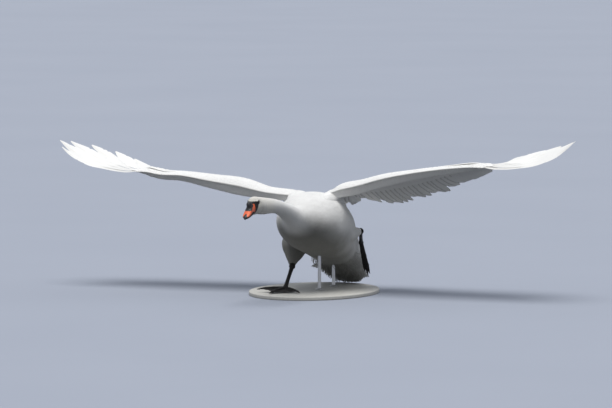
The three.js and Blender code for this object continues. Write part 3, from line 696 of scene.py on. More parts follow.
def body_skin():
    """The skin of head, neck and trunk: the body's outline drawn in by the coat's depth."""
    rows = np.concatenate([uneven(0, HEAD_END, 132, [(3, 0.5, 1.5)])[:-1],
                           np.linspace(HEAD_END, BODY_END, 128)])
    angles = uneven(0, TURN, 177, [(np.radians(a), 0.26, 1.6) for a in (30, 150)])[:-1]
    row, angle = np.meshgrid(rows, angles, indexing="ij")
    rings = body_surface(row, angle, -coat_depth(row))
    in_face = row < HEAD_END
    rings[in_face] = face_form(rings[in_face])
    front = rings[0]
    middle = front.mean(0)
    lips = [middle + (front - middle) * size + (in_head(step, 0) - in_head(0, 0))
            for size, step in ((0.8, 3.0), (0.9, 2.2), (0.97, 1.1))]
    return tube_shell(np.concatenate([np.stack(lips), rings]))


ARM_INSET = 2.6
PAD_INSET = 6.5
ANKLE_BLEND = 2               # half-width of the change from bare skin to plumage


def limb_skin(rows, sides, count, inset=0):
    """A limb's outline drawn in, as a closed shell of that many rings."""
    at, angle = np.meshgrid(np.linspace(0, len(rows) - 1, count), circle(sides), indexing="ij")
    return tube_shell(limb_surface(rows)(at, angle, -inset))


def thigh_skin(name):
    """A thigh's outline drawn in by the coat's depth, thick on the body, thin at the bare ankle."""
    at, angle = np.meshgrid(np.linspace(-1, 4, 54), circle(40), indexing="ij")
    return tube_shell(thigh_surface(name)(at, angle, -thigh_coat_depth(at)))


def apply_modifiers(obj):
    """Makes an object's modifiers part of its mesh."""
    graph = bpy.context.evaluated_depsgraph_get()
    finished = bpy.data.meshes.new_from_object(obj.evaluated_get(graph))
    obj.modifiers.clear()
    old, obj.data = obj.data, finished
    bpy.data.meshes.remove(old)


def united(name, shells):
    """One closed surface round several overlapping shells."""
    base, *others = [make_mesh(f"{name}_{i}", [shell]) for i, shell in enumerate(shells)]
    base.name = name
    for other in others:
        join = base.modifiers.new("join", "BOOLEAN")
        join.operation = "UNION"
        join.solver = "MANIFOLD"
        join.object = other
    apply_modifiers(base)
    for other in others:
        bpy.data.objects.remove(other)
    return base


def make_skin(finish):
    """One skin over head, neck, trunk, thighs, arms and hands."""
    shells = [body_skin()]
    for name, wing in WINGS.items():
        xs = np.linspace(ARM_ROOT - 28, HAND_END - 1, 110)
        shells.append(tube_shell(wing.arm_rings(xs, ARM_INSET)))
        shells.append(limb_skin(scapular_rows(wing.side), 32, 48, PAD_INSET))
        shells.append(thigh_skin(name))
    skin = united("skin", shells)
    points = places_of(skin)
    bare = bare_face(points)
    for name, leg in LEGS.items():
        away = np.linalg.norm(points - leg["ankle"], axis=1)
        edge = BARE_ANKLE[name]
        bare = np.maximum(bare, ramp(edge + ANKLE_BLEND, edge - ANKLE_BLEND, away))
    add_values(skin, bare=bare, orange=orange_base(points))
    skin.data.shade_smooth()
    place_piece(skin, finish, "plumage", *FLESH_NODES)


# ---------------- eyes, bill and knob

EYE_TURN = (-0.22, 0.05)      # how much the eyes look forward and up
CORNEA = 0.035                # rise of the cornea over the ball


def make_eye(finish, name, side):
    """An eyeball: a sphere with a low corneal dome, on rings round its axis, which points out and
    a little forward. The iris value is the angle from the axis in degrees."""
    centre = in_head(0, 0, side * EYE_OUT)
    axis = unit(np.array([side, *EYE_TURN]))
    first = unit(np.cross(axis, [0, 0, 1.0]))
    second = np.cross(axis, first)
    angle = np.radians(np.linspace(1.5, 178.5, 48))[:, None, None]
    turn = circle(64)[None, :, None]
    radius = EYE_RADIUS * (1 + CORNEA * bell(angle / 0.6))
    ring = np.cos(turn) * first + np.sin(turn) * second
    ball = tube_shell(centre + radius * (np.cos(angle) * axis + np.sin(angle) * ring))
    iris = np.degrees(np.arccos(np.clip(unit(ball[0] - centre) @ axis, -1, 1)))
    place_piece(make_mesh(f"eyeball_{name}", [ball], iris=iris), finish, "eye", f"eye_{name}")


def make_eyelids(finish, name, side):
    """The rims of the lids: a ring that follows the edge of their opening over the eyeball, thick
    above, with a fine crease outside it."""
    turn, across = circle(72)[:, None], circle(16)[None]
    c, s = np.cos(turn), np.sin(turn)
    wide, high = EYE_OPENING
    thick = 1.1 + 0.25 * s + 0.12 * np.cos(2 * turn)
    reach = 1 + 0.02 * np.sin(5 * turn + 1)
    spread = thick * np.cos(across)
    ball = np.sqrt(EYE_RADIUS ** 2 - (wide * c) ** 2 - (high * s) ** 2)
    out = EYE_OUT + ball + 0.35 - 0.45 * spread + thick * np.sin(across)
    rings = in_head((wide * reach + spread) * c, (high * reach + spread) * s, side * out)
    triangles = triangles_of(grid_faces(73, 16, wrap=True) % (72 * 16))
    lids = make_mesh(f"eyelids_{name}", [(rings.reshape(-1, 3), triangles)])
    place_piece(lids, finish, "bill_horn")


# Sections of the bill: place along, top, bottom, half-width.
UPPER_BILL = ((33.5, 4.6, -29.2, 17.5), (42, 2, -29.3, 16.4), (50, -1, -29.5, 15.8), (65, -8, -30, 15.2),
              (80, -14, -30.6, 15.1), (90, -17.8, -31.2, 14.2), (97, -20.8, -31.8, 11.6),
              (102, -24, -32.4, 7.8), (105, -27.5, -32.6, 3.2))
BILL_NAIL = ((87, -16.6, -21, 1.5), (90, -17.2, -24, 5), (95, -19, -28.5, 7.6), (101, -22.6, -33, 7.2),
             (105, -26.4, -35.4, 4.8), (107.5, -30.4, -35.6, 1.4))
LOWER_BILL = ((33.5, -27.6, -39.8, 15.4), (55, -28.4, -38.2, 14.2), (75, -29.2, -36.6, 13.6),
              (90, -30, -35.4, 11.8), (99, -31, -34.8, 7.2), (101.5, -32, -34.4, 3))


def bill_shell(rows, count, sides, squareness, form=None):
    """A length of the bill: sections across its run through rows, as superellipses, then given a
    form of its own by moving points in the head's frame."""
    table = table_through([row[0] for row in rows], [row[1:] for row in rows])
    along = np.linspace(rows[0][0], rows[-1][0], count)[:, None]
    top, bottom, half = np.moveaxis(table(along), -1, 0)
    angle = circle(sides)[None] + np.pi / sides
    side = signed_power(np.cos(angle), squareness) * half
    up = (top + bottom) / 2 + signed_power(np.sin(angle), squareness) * (top - bottom) / 2
    if form:
        side = form(along, up, side)
    return tube_shell(in_head(along, up, side))


def upper_bill_form(along, up, side):
    """Nostril: a slit pressed into the side; a low ridge over the cutting edge; a flared edge; a
    base that widens until it is flush with the face."""
    out = np.abs(side)
    slit = np.hypot((along - 64) / 5.2, (up + 9.6 + 0.25 * (along - 64)) / 1.5)
    out = out - 1.7 * bell(slit) * (out > 4)
    rim = np.hypot((along - 64) / 9, (up + 9 + 0.25 * (along - 64)) / 4.5)
    out = out + 0.5 * np.exp(-6 * (rim - 1) ** 2) * (out > 4)
    out = out + 0.7 * bell((up + 27.5) / 2.2) * (out > 4)
    face = FACE_HALF * (1 - np.minimum(np.abs((up + 15.5) / 24.5), 1) ** 2.1) ** (1 / 2.1)
    out = out + np.maximum(face - out, 0) * ramp(47, 35.5, along) * ramp(0, 4, out)
    return np.sign(side) * out


def make_bill(orange, black):
    """Upper bill with its black markings, its nail, and the lower bill."""
    upper = bill_shell(UPPER_BILL, 110, 96, 0.85, upper_bill_form)
    upper_bill = make_mesh("upper_bill", [upper], black=bill_black(upper[0]))
    place_piece(upper_bill, orange, "bill_skin", "bill_upper")
    for name, rows, node in (("nail", BILL_NAIL, "bill_nail"), ("lower_bill", LOWER_BILL, "bill_lower")):
        place_piece(make_mesh(name, [bill_shell(rows, 60, 64, 0.9)]), black, "bill_horn", node)


def make_knob(finish):
    """The knob over the bill's base: rings round its upright axis, a dome above and below it a
    waist that flares onto the bill, leaning forward, with shallow creases round it."""
    angle = np.radians(np.linspace(1, 179, 64))[:, None]
    turn = circle(84)[None]
    wide, long, high = KNOB_SIZES
    rise = np.cos(angle)
    size = np.where(rise > 0, np.sin(angle), 1 - 0.12 * rise ** 2 + 0.2 * ramp(0.3, 1, -rise))
    size = size * (1 + 0.012 * np.sin(11 * angle + 1.6 * np.cos(turn)) + 0.014 * np.cos(3 * turn + 1))
    level = np.where(rise > 0, high, 12) * rise
    flare = 0.42 * ramp(0.25, 1, -rise) * (np.cos(turn) > 0) * np.cos(turn) ** 2
    forward = 0.12 * level + long * size * np.cos(turn) * (1 + flare)
    level = level - 0.35 * np.maximum(forward, 0) * ramp(0, 1, -rise)
    rings = in_head(KNOB_CENTRE[0] + forward, KNOB_CENTRE[1] + level, wide * size * np.sin(turn))
    place_piece(make_mesh("knob", [tube_shell(rings)]), finish, "bill_horn", "bill_knob")


# ---------------- legs

# Ankle and toe joint; ends of the hind toe and of the others, from the joint; thickness and arch
# of the toes, sag of the webs and bend of the claws. The foot with an arch is kept off the base.
LEGS = {
    "right": {"ankle": (-100, 50, 100), "joint": (-101, -22, 18), "hind": (12, 30, -5),
              "toes": ((-90, -92, -2.5), (-14, -145, -12.5), (94, -72, -12.5)),
              "thick": (6.8, 7.4, 6.8), "arch": 3, "sag": -1.5, "claw_bend": (0, 0, 1.5)},
    "left": {"ankle": (150, 192, 243), "joint": (117, 282, 188), "hind": (-6, 16, 18),
             "toes": ((29, 27, -133), (17, 39, -142), (3, 37, -126)),
             "thick": (8.8, 9.4, 8.8), "arch": 0, "sag": 4, "claw_bend": (0, -2, 0)},
}
TOE_PADS = ((0.42, 0.72), (0.32, 0.56, 0.78), (0.3, 0.5, 0.68, 0.84))
KNUCKLE = ((11, 5), (8, 9.6), (2, 12.6), (-5, 12.8), (-12, 8))
FOOT_BALL = ((-8, 8.6), (-4, 10), (2, 10.8), (8, 9.5), (12, 5))
VOXEL = 1.3
SOLE_LEVEL = 0.4


def leg_line(name):
    """A leg's ankle and toe joint, and the way from one to the other."""
    ankle, joint = (np.array(LEGS[name][key], float) for key in ("ankle", "joint"))
    return ankle, joint, unit(joint - ankle)


def make_shank(finish, name):
    """The bare shank: ovals down from the ankle, and the round swollen ankle itself."""
    ankle, joint, down = leg_line(name)
    length = np.linalg.norm(joint - ankle)
    rows = [(*(ankle + down * d), wide, deep) for d, wide, deep in (
        (-9, 9.6, 10.6), (0, 11, 12.5), (14, 8.6, 10.4), (0.5 * length, 7.2, 9.4),
        (length - 14, 8.2, 9.6), (length - 3, 10, 9.6))]
    knuckle = [(*(ankle - down * d), r, r) for d, r in KNUCKLE]
    shank = make_mesh(f"shank_{name}_skin", [limb_skin(rows, 40, 90), limb_skin(knuckle, 32, 24)])
    place_piece(shank, finish, "leg_skin", f"shank_{name}")


def toe_shell(start, end, thick, arch, pads):
    """A toe: ovals that thin from joint to claw, swollen at each joint by a low bell curve."""
    count = 40
    t = np.linspace(0, 0.93, count)
    size = curve_through([(0, 1), (0.45, 0.8), (0.82, 0.62), (0.93, 0.4)])(t)
    size = thick * size * (1 + 0.13 * sum(bell((t - pad) / 0.045) for pad in pads))
    path = start + (end - start) * t[:, None] + [0, 0, arch] * np.sin(np.pi * t)[:, None]
    return limb_skin(np.column_stack([path, size, 0.92 * size]), 16, count)


def claw_shell(start, end, thick, drop):
    """A claw: a cone bent down by the square of the way along it."""
    count = 14
    t = np.linspace(0, 1, count)
    path = start + (end - start) * t[:, None] - np.outer(t * t, drop)
    size = thick * (1 - t) ** 0.7 + 0.35
    return limb_skin(np.column_stack([path, size, size]), 12, count)


WEB_FOLDS = 7
WEB_HALF = 0.8                # half the web's thickness


def web_shell(joint, first, second, sag):
    """A web between two toes: a fan from the joint with a hollow edge, sagging between the toes,
    with low radial folds."""
    v = np.linspace(0, 1, 33)[:, None]
    u = np.linspace(0.1, 1, 24)[None]
    reach = 0.87 * (1 - 0.17 * np.sin(np.pi * v))
    rim = first + (second - first) * v[..., None]
    normal = unit(np.cross(first - joint, second - joint))
    low = sag * np.sin(np.pi * v) * u + 0.5 * np.sin(WEB_FOLDS * np.pi * v) * u
    middle = joint + (rim - joint) * (reach * u)[..., None] + low[..., None] * normal
    upper, lower = middle + WEB_HALF * normal, middle - WEB_HALF * normal
    return tube_shell(np.concatenate([upper, lower[:, ::-1]], axis=1))


def make_foot(finish, claw_finish, name):
    """A webbed foot: three front toes and a hind toe from one joint, with two webs, made one
    surface; the claws are a piece of their own."""
    leg = LEGS[name]
    _, joint, down = leg_line(name)
    heel = joint + 3 * down
    shells, claws = [], []
    tips = [joint + reach for reach in leg["toes"]]
    for tip, thick, pads in zip(tips, leg["thick"], TOE_PADS):
        shells.append(toe_shell(heel, tip, thick, leg["arch"], pads))
        way = unit(tip - heel)
        claws.append(claw_shell(tip - 12 * way, tip + 1.5 * way, 3.1, leg["claw_bend"]))
    shells += [web_shell(heel, *pair, leg["sag"]) for pair in (tips[:2], tips[1:])]
    hind = joint + leg["hind"]
    way = unit(hind - heel)
    shells.append(toe_shell(heel, hind, 4.6, 0, (0.5,)))
    claws.append(claw_shell(hind - 4 * way, hind + 3 * way, 2.2, (0, 0, 2)))
    shells.append(limb_skin([(*(joint + down * d), r, r) for d, r in FOOT_BALL], 24, 20))
    foot = make_mesh(f"foot_{name}_skin", shells)
    remesh = foot.modifiers.new("skin", "REMESH")
    remesh.mode = "VOXEL"
    remesh.voxel_size = VOXEL * MM
    remesh.use_smooth_shade = True
    soften = foot.modifiers.new("soften", "SMOOTH")
    soften.factor = 0.5
    soften.iterations = 3
    apply_modifiers(foot)
    if leg["arch"]:
        points = places_of(foot)
        points[:, 2] = np.maximum(points[:, 2], SOLE_LEVEL)
        foot.data.vertices.foreach_set("co", to_metres(points))
    foot.data.shade_smooth()
    place_piece(foot, finish, "leg_skin", f"foot_{name}")
    place_piece(make_mesh(f"claws_{name}", claws), claw_finish, "leg_skin")


# ---------------- shader building

def arithmetic(operation, swapped=False):
    """A method that joins a value and another, or a number, by a Math node."""
    def method(value, other):
        return value.graph.maths(operation, *((other, value) if swapped else (value, other)))
    return method


class Value:
    """One output of a node. Plus, minus and times make Math nodes of it."""

    def __init__(self, graph, end):
        self.graph, self.end = graph, end

    __add__, __radd__ = arithmetic("ADD"), arithmetic("ADD", True)
    __sub__, __rsub__ = arithmetic("SUBTRACT"), arithmetic("SUBTRACT", True)
    __mul__, __rmul__ = arithmetic("MULTIPLY"), arithmetic("MULTIPLY", True)


class Graph:
    """Short ways to add nodes to a shader tree and to join them up."""

    def __init__(self, tree):
        self.tree = tree

    def put(self, socket, value):
        """A link if value comes from a node, and else the value itself."""
        if isinstance(value, Value):
            self.tree.links.new(value.end, socket)
        else:
            socket.default_value = value

    def node(self, kind, put, **settings):
        """The outputs of a node of that kind, with values or links put on its inputs."""
        node = self.tree.nodes.new(f"ShaderNode{kind}")
        for key, value in settings.items():
            setattr(node, key, value)
        for key, value in put.items():
            self.put(node.inputs[key], value)
        return [Value(self, end) for end in node.outputs]

    def add(self, kind, put, **settings):
        """The first output of a node."""
        return self.node(kind, put, **settings)[0]

    def maths(self, operation, a, b=0.0):
        """The outcome of one Math node."""
        return self.add("Math", {0: a, 1: b, 2: 0.0}, operation=operation)

    def between(self, value, low, high):
        """An S-curve from nought at low to one at high."""
        return self.add("MapRange", {"Value": value, "From Min": low, "From Max": high},
                        interpolation_type="SMOOTHSTEP")

    def mix(self, share, a, b, blend="MIX"):
        """A colour that goes from a to b."""
        return self.node("Mix", {0: share, 6: a, 7: b}, data_type="RGBA", blend_type=blend)[2]

    def noise(self, place, scale, detail=3.0, roughness=0.5):
        """A noise value between nought and one."""
        return self.add("TexNoise", {"Vector": place, "Scale": scale, "Detail": detail,
                                     "Roughness": roughness})

    def stretched(self, place, *scale):
        """A place scaled along its axes."""
        return self.add("Mapping", {"Vector": place, "Scale": scale})

    def value_of(self, name):
        """A named number of the mesh."""
        return self.node("Attribute", {}, attribute_name=name)[2]

    def object_place(self):
        """Object coordinates."""
        return self.node("TexCoord", {})[3]

    def bump(self, height, distance):
        """A normal bent by a height, in metres of distance."""
        return self.add("Bump", {"Height": height, "Distance": distance, "Strength": 1.0})

    def use(self, tree, **put):
        """The outputs of a node group, with its inputs set."""
        return self.node("Group", put, node_tree=tree)


def group(name, given, gives, fill):
    """A node group with given inputs (name, type, value) and the outputs it gives (name, type),
    which fill makes from the inputs."""
    tree = bpy.data.node_groups.new(name, "ShaderNodeTree")
    for key, kind, value in given:
        socket = tree.interface.new_socket(key, in_out="INPUT", socket_type=f"NodeSocket{kind}")
        if value is not None:
            socket.default_value = value
    for key, kind in gives:
        tree.interface.new_socket(key, in_out="OUTPUT", socket_type=f"NodeSocket{kind}")
    source, sink = tree.nodes.new("NodeGroupInput"), tree.nodes.new("NodeGroupOutput")
    graph = Graph(tree)
    values = fill(graph, *(Value(graph, source.outputs[key]) for key, _, _ in given))
    for (key, _), value in zip(gives, values):
        graph.put(sink.inputs[key], value)
    return tree


def material(name, fill, **fixed):
    """A material round one Principled shader: fill gives its colour, and its roughness and normal
    if they vary too, and fixed numbers go straight on the shader's sockets."""
    made = bpy.data.materials.new(name)
    made.use_nodes = True
    graph = Graph(made.node_tree)
    shader = made.node_tree.nodes["Principled BSDF"]
    varied = dict(zip(("Base Color", "Roughness", "Normal"), fill(graph)))
    for key, value in {**varied, **fixed}.items():
        graph.put(shader.inputs[key.replace("_", " ")], value)
    return made


# ---------------- shared effects

WHITE = (0.90, 0.895, 0.875, 1)
CREAM = (0.86, 0.82, 0.73, 1)
DULL = (0.66, 0.64, 0.58, 1)
# painted shade: the dark olive-grey laid over the lower belly and undertail in place of the shade beneath
# the body
BELLY_SHADE = (0.125, 0.121, 0.102, 1)
QUILL = (0.80, 0.76, 0.66, 1)
# painted shade where one flight feather lies over another
OVERLAP_SHADE = (0.30, 0.295, 0.27, 1)
FACE_BLACK = (0.012, 0.011, 0.012, 1)
WORN_BLACK = (0.045, 0.04, 0.04, 1)
ORANGE = (0.86, 0.15, 0.05, 1)
DEEP_ORANGE = (0.70, 0.085, 0.025, 1)
PALE_ORANGE = (0.9, 0.36, 0.16, 1)
PUPIL = (0.002, 0.002, 0.002, 1)
IRIS = (0.009, 0.004, 0.002, 1), (0.028, 0.012, 0.005, 1)
EYE_RIM = (0.01, 0.008, 0.007, 1)
LEG = (0.010, 0.0095, 0.011, 1), (0.026, 0.024, 0.024, 1)
SCALE_BORDER = (0.045, 0.042, 0.038, 1)
CLAW = (0.012, 0.01, 0.01, 1), (0.07, 0.06, 0.05, 1)
BOARD = (0.50, 0.49, 0.455, 1), (0.60, 0.59, 0.56, 1)
STEEL = (0.50, 0.50, 0.51, 1), (0.66, 0.66, 0.66, 1)


def fill_plumage(graph, place, tone, reach):
    """White, creamy on the neck and duller on the head, with painted shade that darkens the belly and
    undertail to a dark olive-grey, with each feather a little lighter or darker and its root in shade."""
    x, y, z = graph.node("SeparateXYZ", {"Vector": place})
    c, s = cos_sin(BODY_PITCH)
    forward = graph.between(y, -0.30, -0.52)
    cloud = graph.noise(place, 9.0)
    colour = graph.mix(forward * (0.35 + cloud * 0.7), WHITE, CREAM)
    colour = graph.mix(graph.between(y, -0.50, -0.60) * 0.8, colour, DULL)
    low = z * c + y * s + (cloud - 0.5) * 0.06
    on_trunk = graph.between(graph.maths("ABSOLUTE", x), 0.24, 0.18) * graph.between(y, -0.21, -0.12)
    # painted shade: the lower body, under the trunk, darkened towards the dark olive-grey
    colour = graph.mix(graph.between(low, 0.30, 0.19) * on_trunk * 0.9, colour, BELLY_SHADE)
    dim = (0.96 + tone * 0.04) * (0.86 + graph.between(reach, 0.1, 0.6) * 0.14)
    shade = graph.add("CombineColor", {"Red": dim, "Green": dim, "Blue": dim})
    return [graph.mix(1.0, colour, shade, "MULTIPLY")]


def fill_barbs(graph, vane, spacing, slope, width):
    """Relief of the barbs: fine waves that run out and on from the shaft, and a raised shaft."""
    u, v, _ = graph.node("SeparateXYZ", {"Vector": vane})
    out = graph.maths("ABSOLUTE", u)
    wave = graph.maths("SINE", (v - out * slope) * graph.maths("DIVIDE", 6.2832, spacing))
    shaft = graph.between(out, width, 0.0)
    split = graph.noise(graph.stretched(vane, 0.6, 5.0, 1.0), 1.4, 2.0)
    return wave * 0.12 + split * 0.5 + shaft * 0.8, shaft


def fill_scales(graph, place, scale):
    """Small horny scales: cells with sunken borders, as a height and as a mask of the borders."""
    cells = graph.add("TexVoronoi", {"Vector": place, "Scale": scale, "Randomness": 0.75},
                      feature="DISTANCE_TO_EDGE")
    border = graph.between(cells, 0.16, 0.0)
    return 1.0 - border, border


PLUMAGE = group("plumage colour",
                [("Place", "Vector", None), ("Tone", "Float", 0.5), ("Reach", "Float", 1.0)],
                [("Color", "Color")], fill_plumage)
BARBS = group("barb relief", [("Vane", "Vector", None), ("Spacing", "Float", 0.11),
                              ("Slope", "Float", 0.9), ("Shaft", "Float", 0.05)],
              [("Height", "Float"), ("Shaft", "Float")], fill_barbs)
SCALES = group("horny scales", [("Place", "Vector", None), ("Scale", "Float", 300.0)],
               [("Height", "Float"), ("Border", "Float")], fill_scales)


# ---------------- materials

def feather(graph, spacing, slope, shaft):
    """Colour of one feather's plumage, and height and shaft of its relief."""
    vane = graph.add("UVMap", {}, uv_map="Vane")
    colour, = graph.use(PLUMAGE, Place=graph.object_place(), Tone=graph.value_of("tone"),
                        Reach=graph.value_of("reach"))
    return colour, *graph.use(BARBS, Vane=vane, Spacing=spacing, Slope=slope, Shaft=shaft)


def body_plumage(graph):
    """Soft feathers with fine barbs and hardly a shaft."""
    colour, height, _ = feather(graph, 0.09, 1.1, 0.012)
    return colour, 0.62 + graph.value_of("tone") * 0.16, graph.bump(height, 0.0002)


def flight_feathers(graph):
    """Stiff feathers with a pale shaft, and painted shade where one lies under the next, strongest on the
    underside.
    """
    colour, height, shaft = feather(graph, 0.1, 1.0, 0.16)
    colour = graph.mix(shaft * 0.65, colour, QUILL)
    colour = graph.mix(graph.between(graph.value_of("fold"), 0.0, 1.0) * 0.85, colour, OVERLAP_SHADE)
    return colour, 0.48 + graph.value_of("tone") * 0.14, graph.bump(height, 0.0004)


def skin_and_fuzz(graph):
    """Downy plumage, with wrinkled bare black skin and the orange of the bill's base."""
    place = graph.object_place()
    colour, = graph.use(PLUMAGE, Place=place, Tone=graph.noise(place, 140.0), Reach=0.35)
    bare = graph.value_of("bare")
    colour = graph.mix(bare, colour, FACE_BLACK)
    colour = graph.mix(graph.value_of("orange"), colour, ORANGE)
    fuzz = graph.noise(graph.stretched(place, 1.0, 0.35, 1.0), 900.0, 4.0, 0.7)
    wrinkle = graph.noise(place, 420.0, 5.0, 0.65)
    height = graph.add("Mix", {0: bare, 2: fuzz, 3: wrinkle})
    return colour, 0.8 - bare * 0.34, graph.bump(height, 0.0007)


def orange_horn(graph):
    """Blotched and finely streaked orange with pores, black where the bill is black."""
    place = graph.object_place()
    patches = graph.noise(place, 70.0, 4.0, 0.6)
    streaks = graph.noise(graph.stretched(place, 1.0, 0.12, 1.0), 900.0)
    colour = graph.mix(graph.between(patches, 0.35, 0.7), ORANGE, DEEP_ORANGE)
    colour = graph.mix(streaks * 0.18, colour, PALE_ORANGE)
    colour = graph.mix(graph.value_of("black"), colour, FACE_BLACK)
    pores = graph.noise(place, 1500.0, 2.0) + streaks * 1.5
    return colour, 0.33 + patches * 0.2, graph.bump(pores, 0.00025)


def black_horn(graph):
    """Black, a little worn in patches."""
    place = graph.object_place()
    worn = graph.noise(place, 160.0, 5.0, 0.65)
    colour = graph.mix(graph.between(worn, 0.4, 0.8), FACE_BLACK, WORN_BLACK)
    return colour, 0.3 + worn * 0.3, graph.bump(graph.noise(place, 600.0, 4.0, 0.6), 0.0006)


def eye(graph):
    """Pupil, dark brown iris and rim by the angle from the eye's axis, in degrees."""
    angle = graph.value_of("iris")
    brown = graph.mix(graph.noise(graph.object_place(), 1400.0, 2.0), *IRIS)
    colour = graph.mix(graph.between(angle, 21.0, 23.0), PUPIL, brown)
    colour = graph.mix(graph.between(angle, 41.0, 47.0), colour, EYE_RIM)
    return colour, 0.04 + graph.between(angle, 48.0, 60.0) * 0.3


def leg_skin(graph):
    """Black scales with paler sunken borders."""
    place = graph.object_place()
    height, border = graph.use(SCALES, Place=graph.stretched(place, 1.0, 1.0, 0.8), Scale=330.0)
    worn = graph.noise(place, 60.0, 4.0)
    colour = graph.mix(border * 0.5, graph.mix(worn, *LEG), SCALE_BORDER)
    height = height + graph.noise(place, 900.0) * 0.3
    return colour, 0.36 + worn * 0.3, graph.bump(height, 0.0006)


def claw_horn(graph):
    """Dark horn streaked lengthwise."""
    streaks = graph.noise(graph.stretched(graph.object_place(), 1.0, 0.2, 1.0), 700.0)
    return graph.mix(streaks, *CLAW), 0.22 + streaks * 0.25, graph.bump(streaks, 0.0003)


def painted_board(graph):
    """Pale paint over a long grain, with marks of the brush."""
    place = graph.object_place()
    grain = graph.noise(graph.stretched(place, 14.0, 1.0, 14.0), 14.0, 5.0, 0.6)
    brush = graph.noise(graph.stretched(place, 1.0, 9.0, 9.0), 30.0)
    colour = graph.mix(graph.between(grain, 0.25, 0.8), *BOARD)
    return colour, 0.42 + brush * 0.25, graph.bump(grain + brush * 0.6, 0.0004)


def brushed_steel(graph):
    """Steel with fine upright lines."""
    lines = graph.noise(graph.stretched(graph.object_place(), 1.0, 1.0, 0.02), 1400.0, 2.0)
    return graph.mix(lines, *STEEL), 0.26 + lines * 0.2, graph.bump(lines, 0.00005)


BODY_PLUMAGE = material("body plumage", body_plumage, Sheen_Weight=0.1, Specular_IOR_Level=0.25,
                        Subsurface_Weight=0.3, Subsurface_Scale=0.002, Subsurface_Radius=(1, 1, 1))
FLIGHT_FEATHERS = material("flight feathers", flight_feathers, Sheen_Weight=0.05,
                           Specular_IOR_Level=0.3)
SKIN = material("skin and short plumage", skin_and_fuzz, Specular_IOR_Level=0.3)
ORANGE_HORN = material("orange horn", orange_horn, Coat_Weight=0.15, Coat_Roughness=0.25)
BLACK_HORN = material("black horn", black_horn, Coat_Weight=0.1, Coat_Roughness=0.3)
EYE = material("eye", eye, Specular_IOR_Level=0.08, Coat_Weight=0.3, Coat_Roughness=0.02)
LEG_SKIN = material("scaly leg skin", leg_skin, Specular_IOR_Level=0.15)
CLAW_HORN = material("claw horn", claw_horn)
PAINTED_BOARD = material("painted board", painted_board)
BRUSHED_STEEL = material("brushed steel", brushed_steel, Metallic=1.0)


# ---------------- coat of the body

BODY_SPANS = ((0, BODY_END), (0, TURN))
exposure = curve_through([(0, 2.3), (3, 2.9), (HEAD_END, 4.2), (9, 5.6), (NECK_END, 7.5), (15, 10.5),
                          (18, 13), (24, 14), (BODY_END, 15)])


def head_surface(row, angle, grow=0.0):
    """The body's outline with the face's form."""
    return face_form(body_surface(row, angle, grow))


def feathered(a, b):
    """Roots on the feathered face: off the bare skin, the bill's base and the eyelids, and none
    so close in front of the eye that it would grow over it."""
    points = body_surface(a, b)
    along, up, side = head_frame(points)
    eye = (np.hypot(along / 10.3, up / 9.4) < 1) | ((np.abs(up) < 8.3) & (along > 0) & (along < 15))
    eye = eye & (np.abs(side) > 12)
    return ~eye & (bare_face(points) < 0.3) & (orange_base(points) < 0.3)


SPACING = 1.08                # gap between neighbours in a row, in gaps between rows


def make_body_coat(finish, name, rows, angles, surface=body_surface, vane=SOFT, reach=3.2,
                   broad=1.75, lift=0.1, depth=0.09):
    """Feathers over the body's outline between two rows, shorter towards the head."""
    coat = Coat(name)
    middle = np.pi / 2 if angles[0] < 1 else 1.5 * np.pi
    places = places_by_exposure(body_surface, [middle], exposure, *rows)
    a, b, gap = tiles(body_surface, places, exposure(places) * SPACING, *angles, coat.random,
                      angles == (0, TURN))
    if surface is head_surface:
        a, b, gap = np.stack([a, b, gap])[:, feathered(a, b)]
    flow = 0.10 * np.sin(1.7 * a + 2 * b) + 0.07 * np.sin(5.1 * b + 0.9 * a)
    coat.lay(surface, vane, a, b, gap * reach, gap * broad, flow, -0.3 - depth * gap, lift,
             0.02 * gap + 0.1, BODY_SPANS)
    coat.build(finish)


def make_body_coats(finish):
    """Plumage of head, neck and trunk."""
    make_body_coat(finish, "coat_head", (0.3, HEAD_END + 0.3), (0, TURN), head_surface, TUFT, 3, 1.6,
                   -0.2, 0.25)
    make_body_coat(finish, "coat_neck", (HEAD_END, NECK_END), (0, TURN), broad=1.7, lift=0, depth=0.1)
    trunk = (NECK_END, BODY_END - 0.3)
    make_body_coat(finish, "coat_back", trunk, (-0.1, np.pi + 0.1))
    make_body_coat(finish, "coat_breast_and_belly", trunk, (np.pi - 0.1, TURN + 0.1))


def make_scapulars(finish, name, wing):
    """Long shoulder feathers over the pad that carries a wing's root."""
    coat = Coat(f"scapulars_{name}")
    side = wing.side
    surface = limb_surface(scapular_rows(side))
    low, high = (-np.pi - 0.45, 1.5) if side > 0 else (-np.pi - 1.5, 0.45)
    grow = curve_through([(0, 7), (0.9, 8.5), (1.6, 11), (2.6, 16), (4, 17), (5, 14)])
    places = places_by_exposure(surface, [-np.pi / 2], grow, 0.05, 4.6)
    a, b, _ = tiles(surface, places, grow(places) * 1.1, low, high, coat.random)
    size = curve_through([(0, 22), (0.9, 28), (1.6, 40), (2.4, 62), (3.2, 84), (4.6, 80)])(a)
    loose = ramp(1.6, 3, a)
    coat.lay(surface, BROAD, a, b, size, 10 + 0.27 * size, side * 0.05, -2.2 - 0.8 * loose,
             0.2 + 2 * loose, 0.4 + 0.8 * loose, ((0, 5), (low, high)), bend=side * 1.5)
    coat.build(finish)


SHOULDER_ROWS = ((150, 86), (128, 94), (104, 96), (78, 84))   # distance back, length


def make_shoulder_feathers(finish, name, wing):
    """Long feathers that close the gap between a wing's innermost flight feathers and the back:
    rows of them from one onto the other."""
    coat = Coat(f"shoulder_feathers_{name}")
    count = 6
    for y, length in SHOULDER_ROWS:
        x = np.linspace(50, 116, count) + coat.random.uniform(-2, 2, count)
        y = y + coat.random.uniform(-6, 6, count)
        coat.lay(wing.upper, BROAD, y, x, length, 27, 0.05, 1.0, 2.6, 1.2, WING_SPANS, bend=2, loose=1.2)
    coat.build(finish)


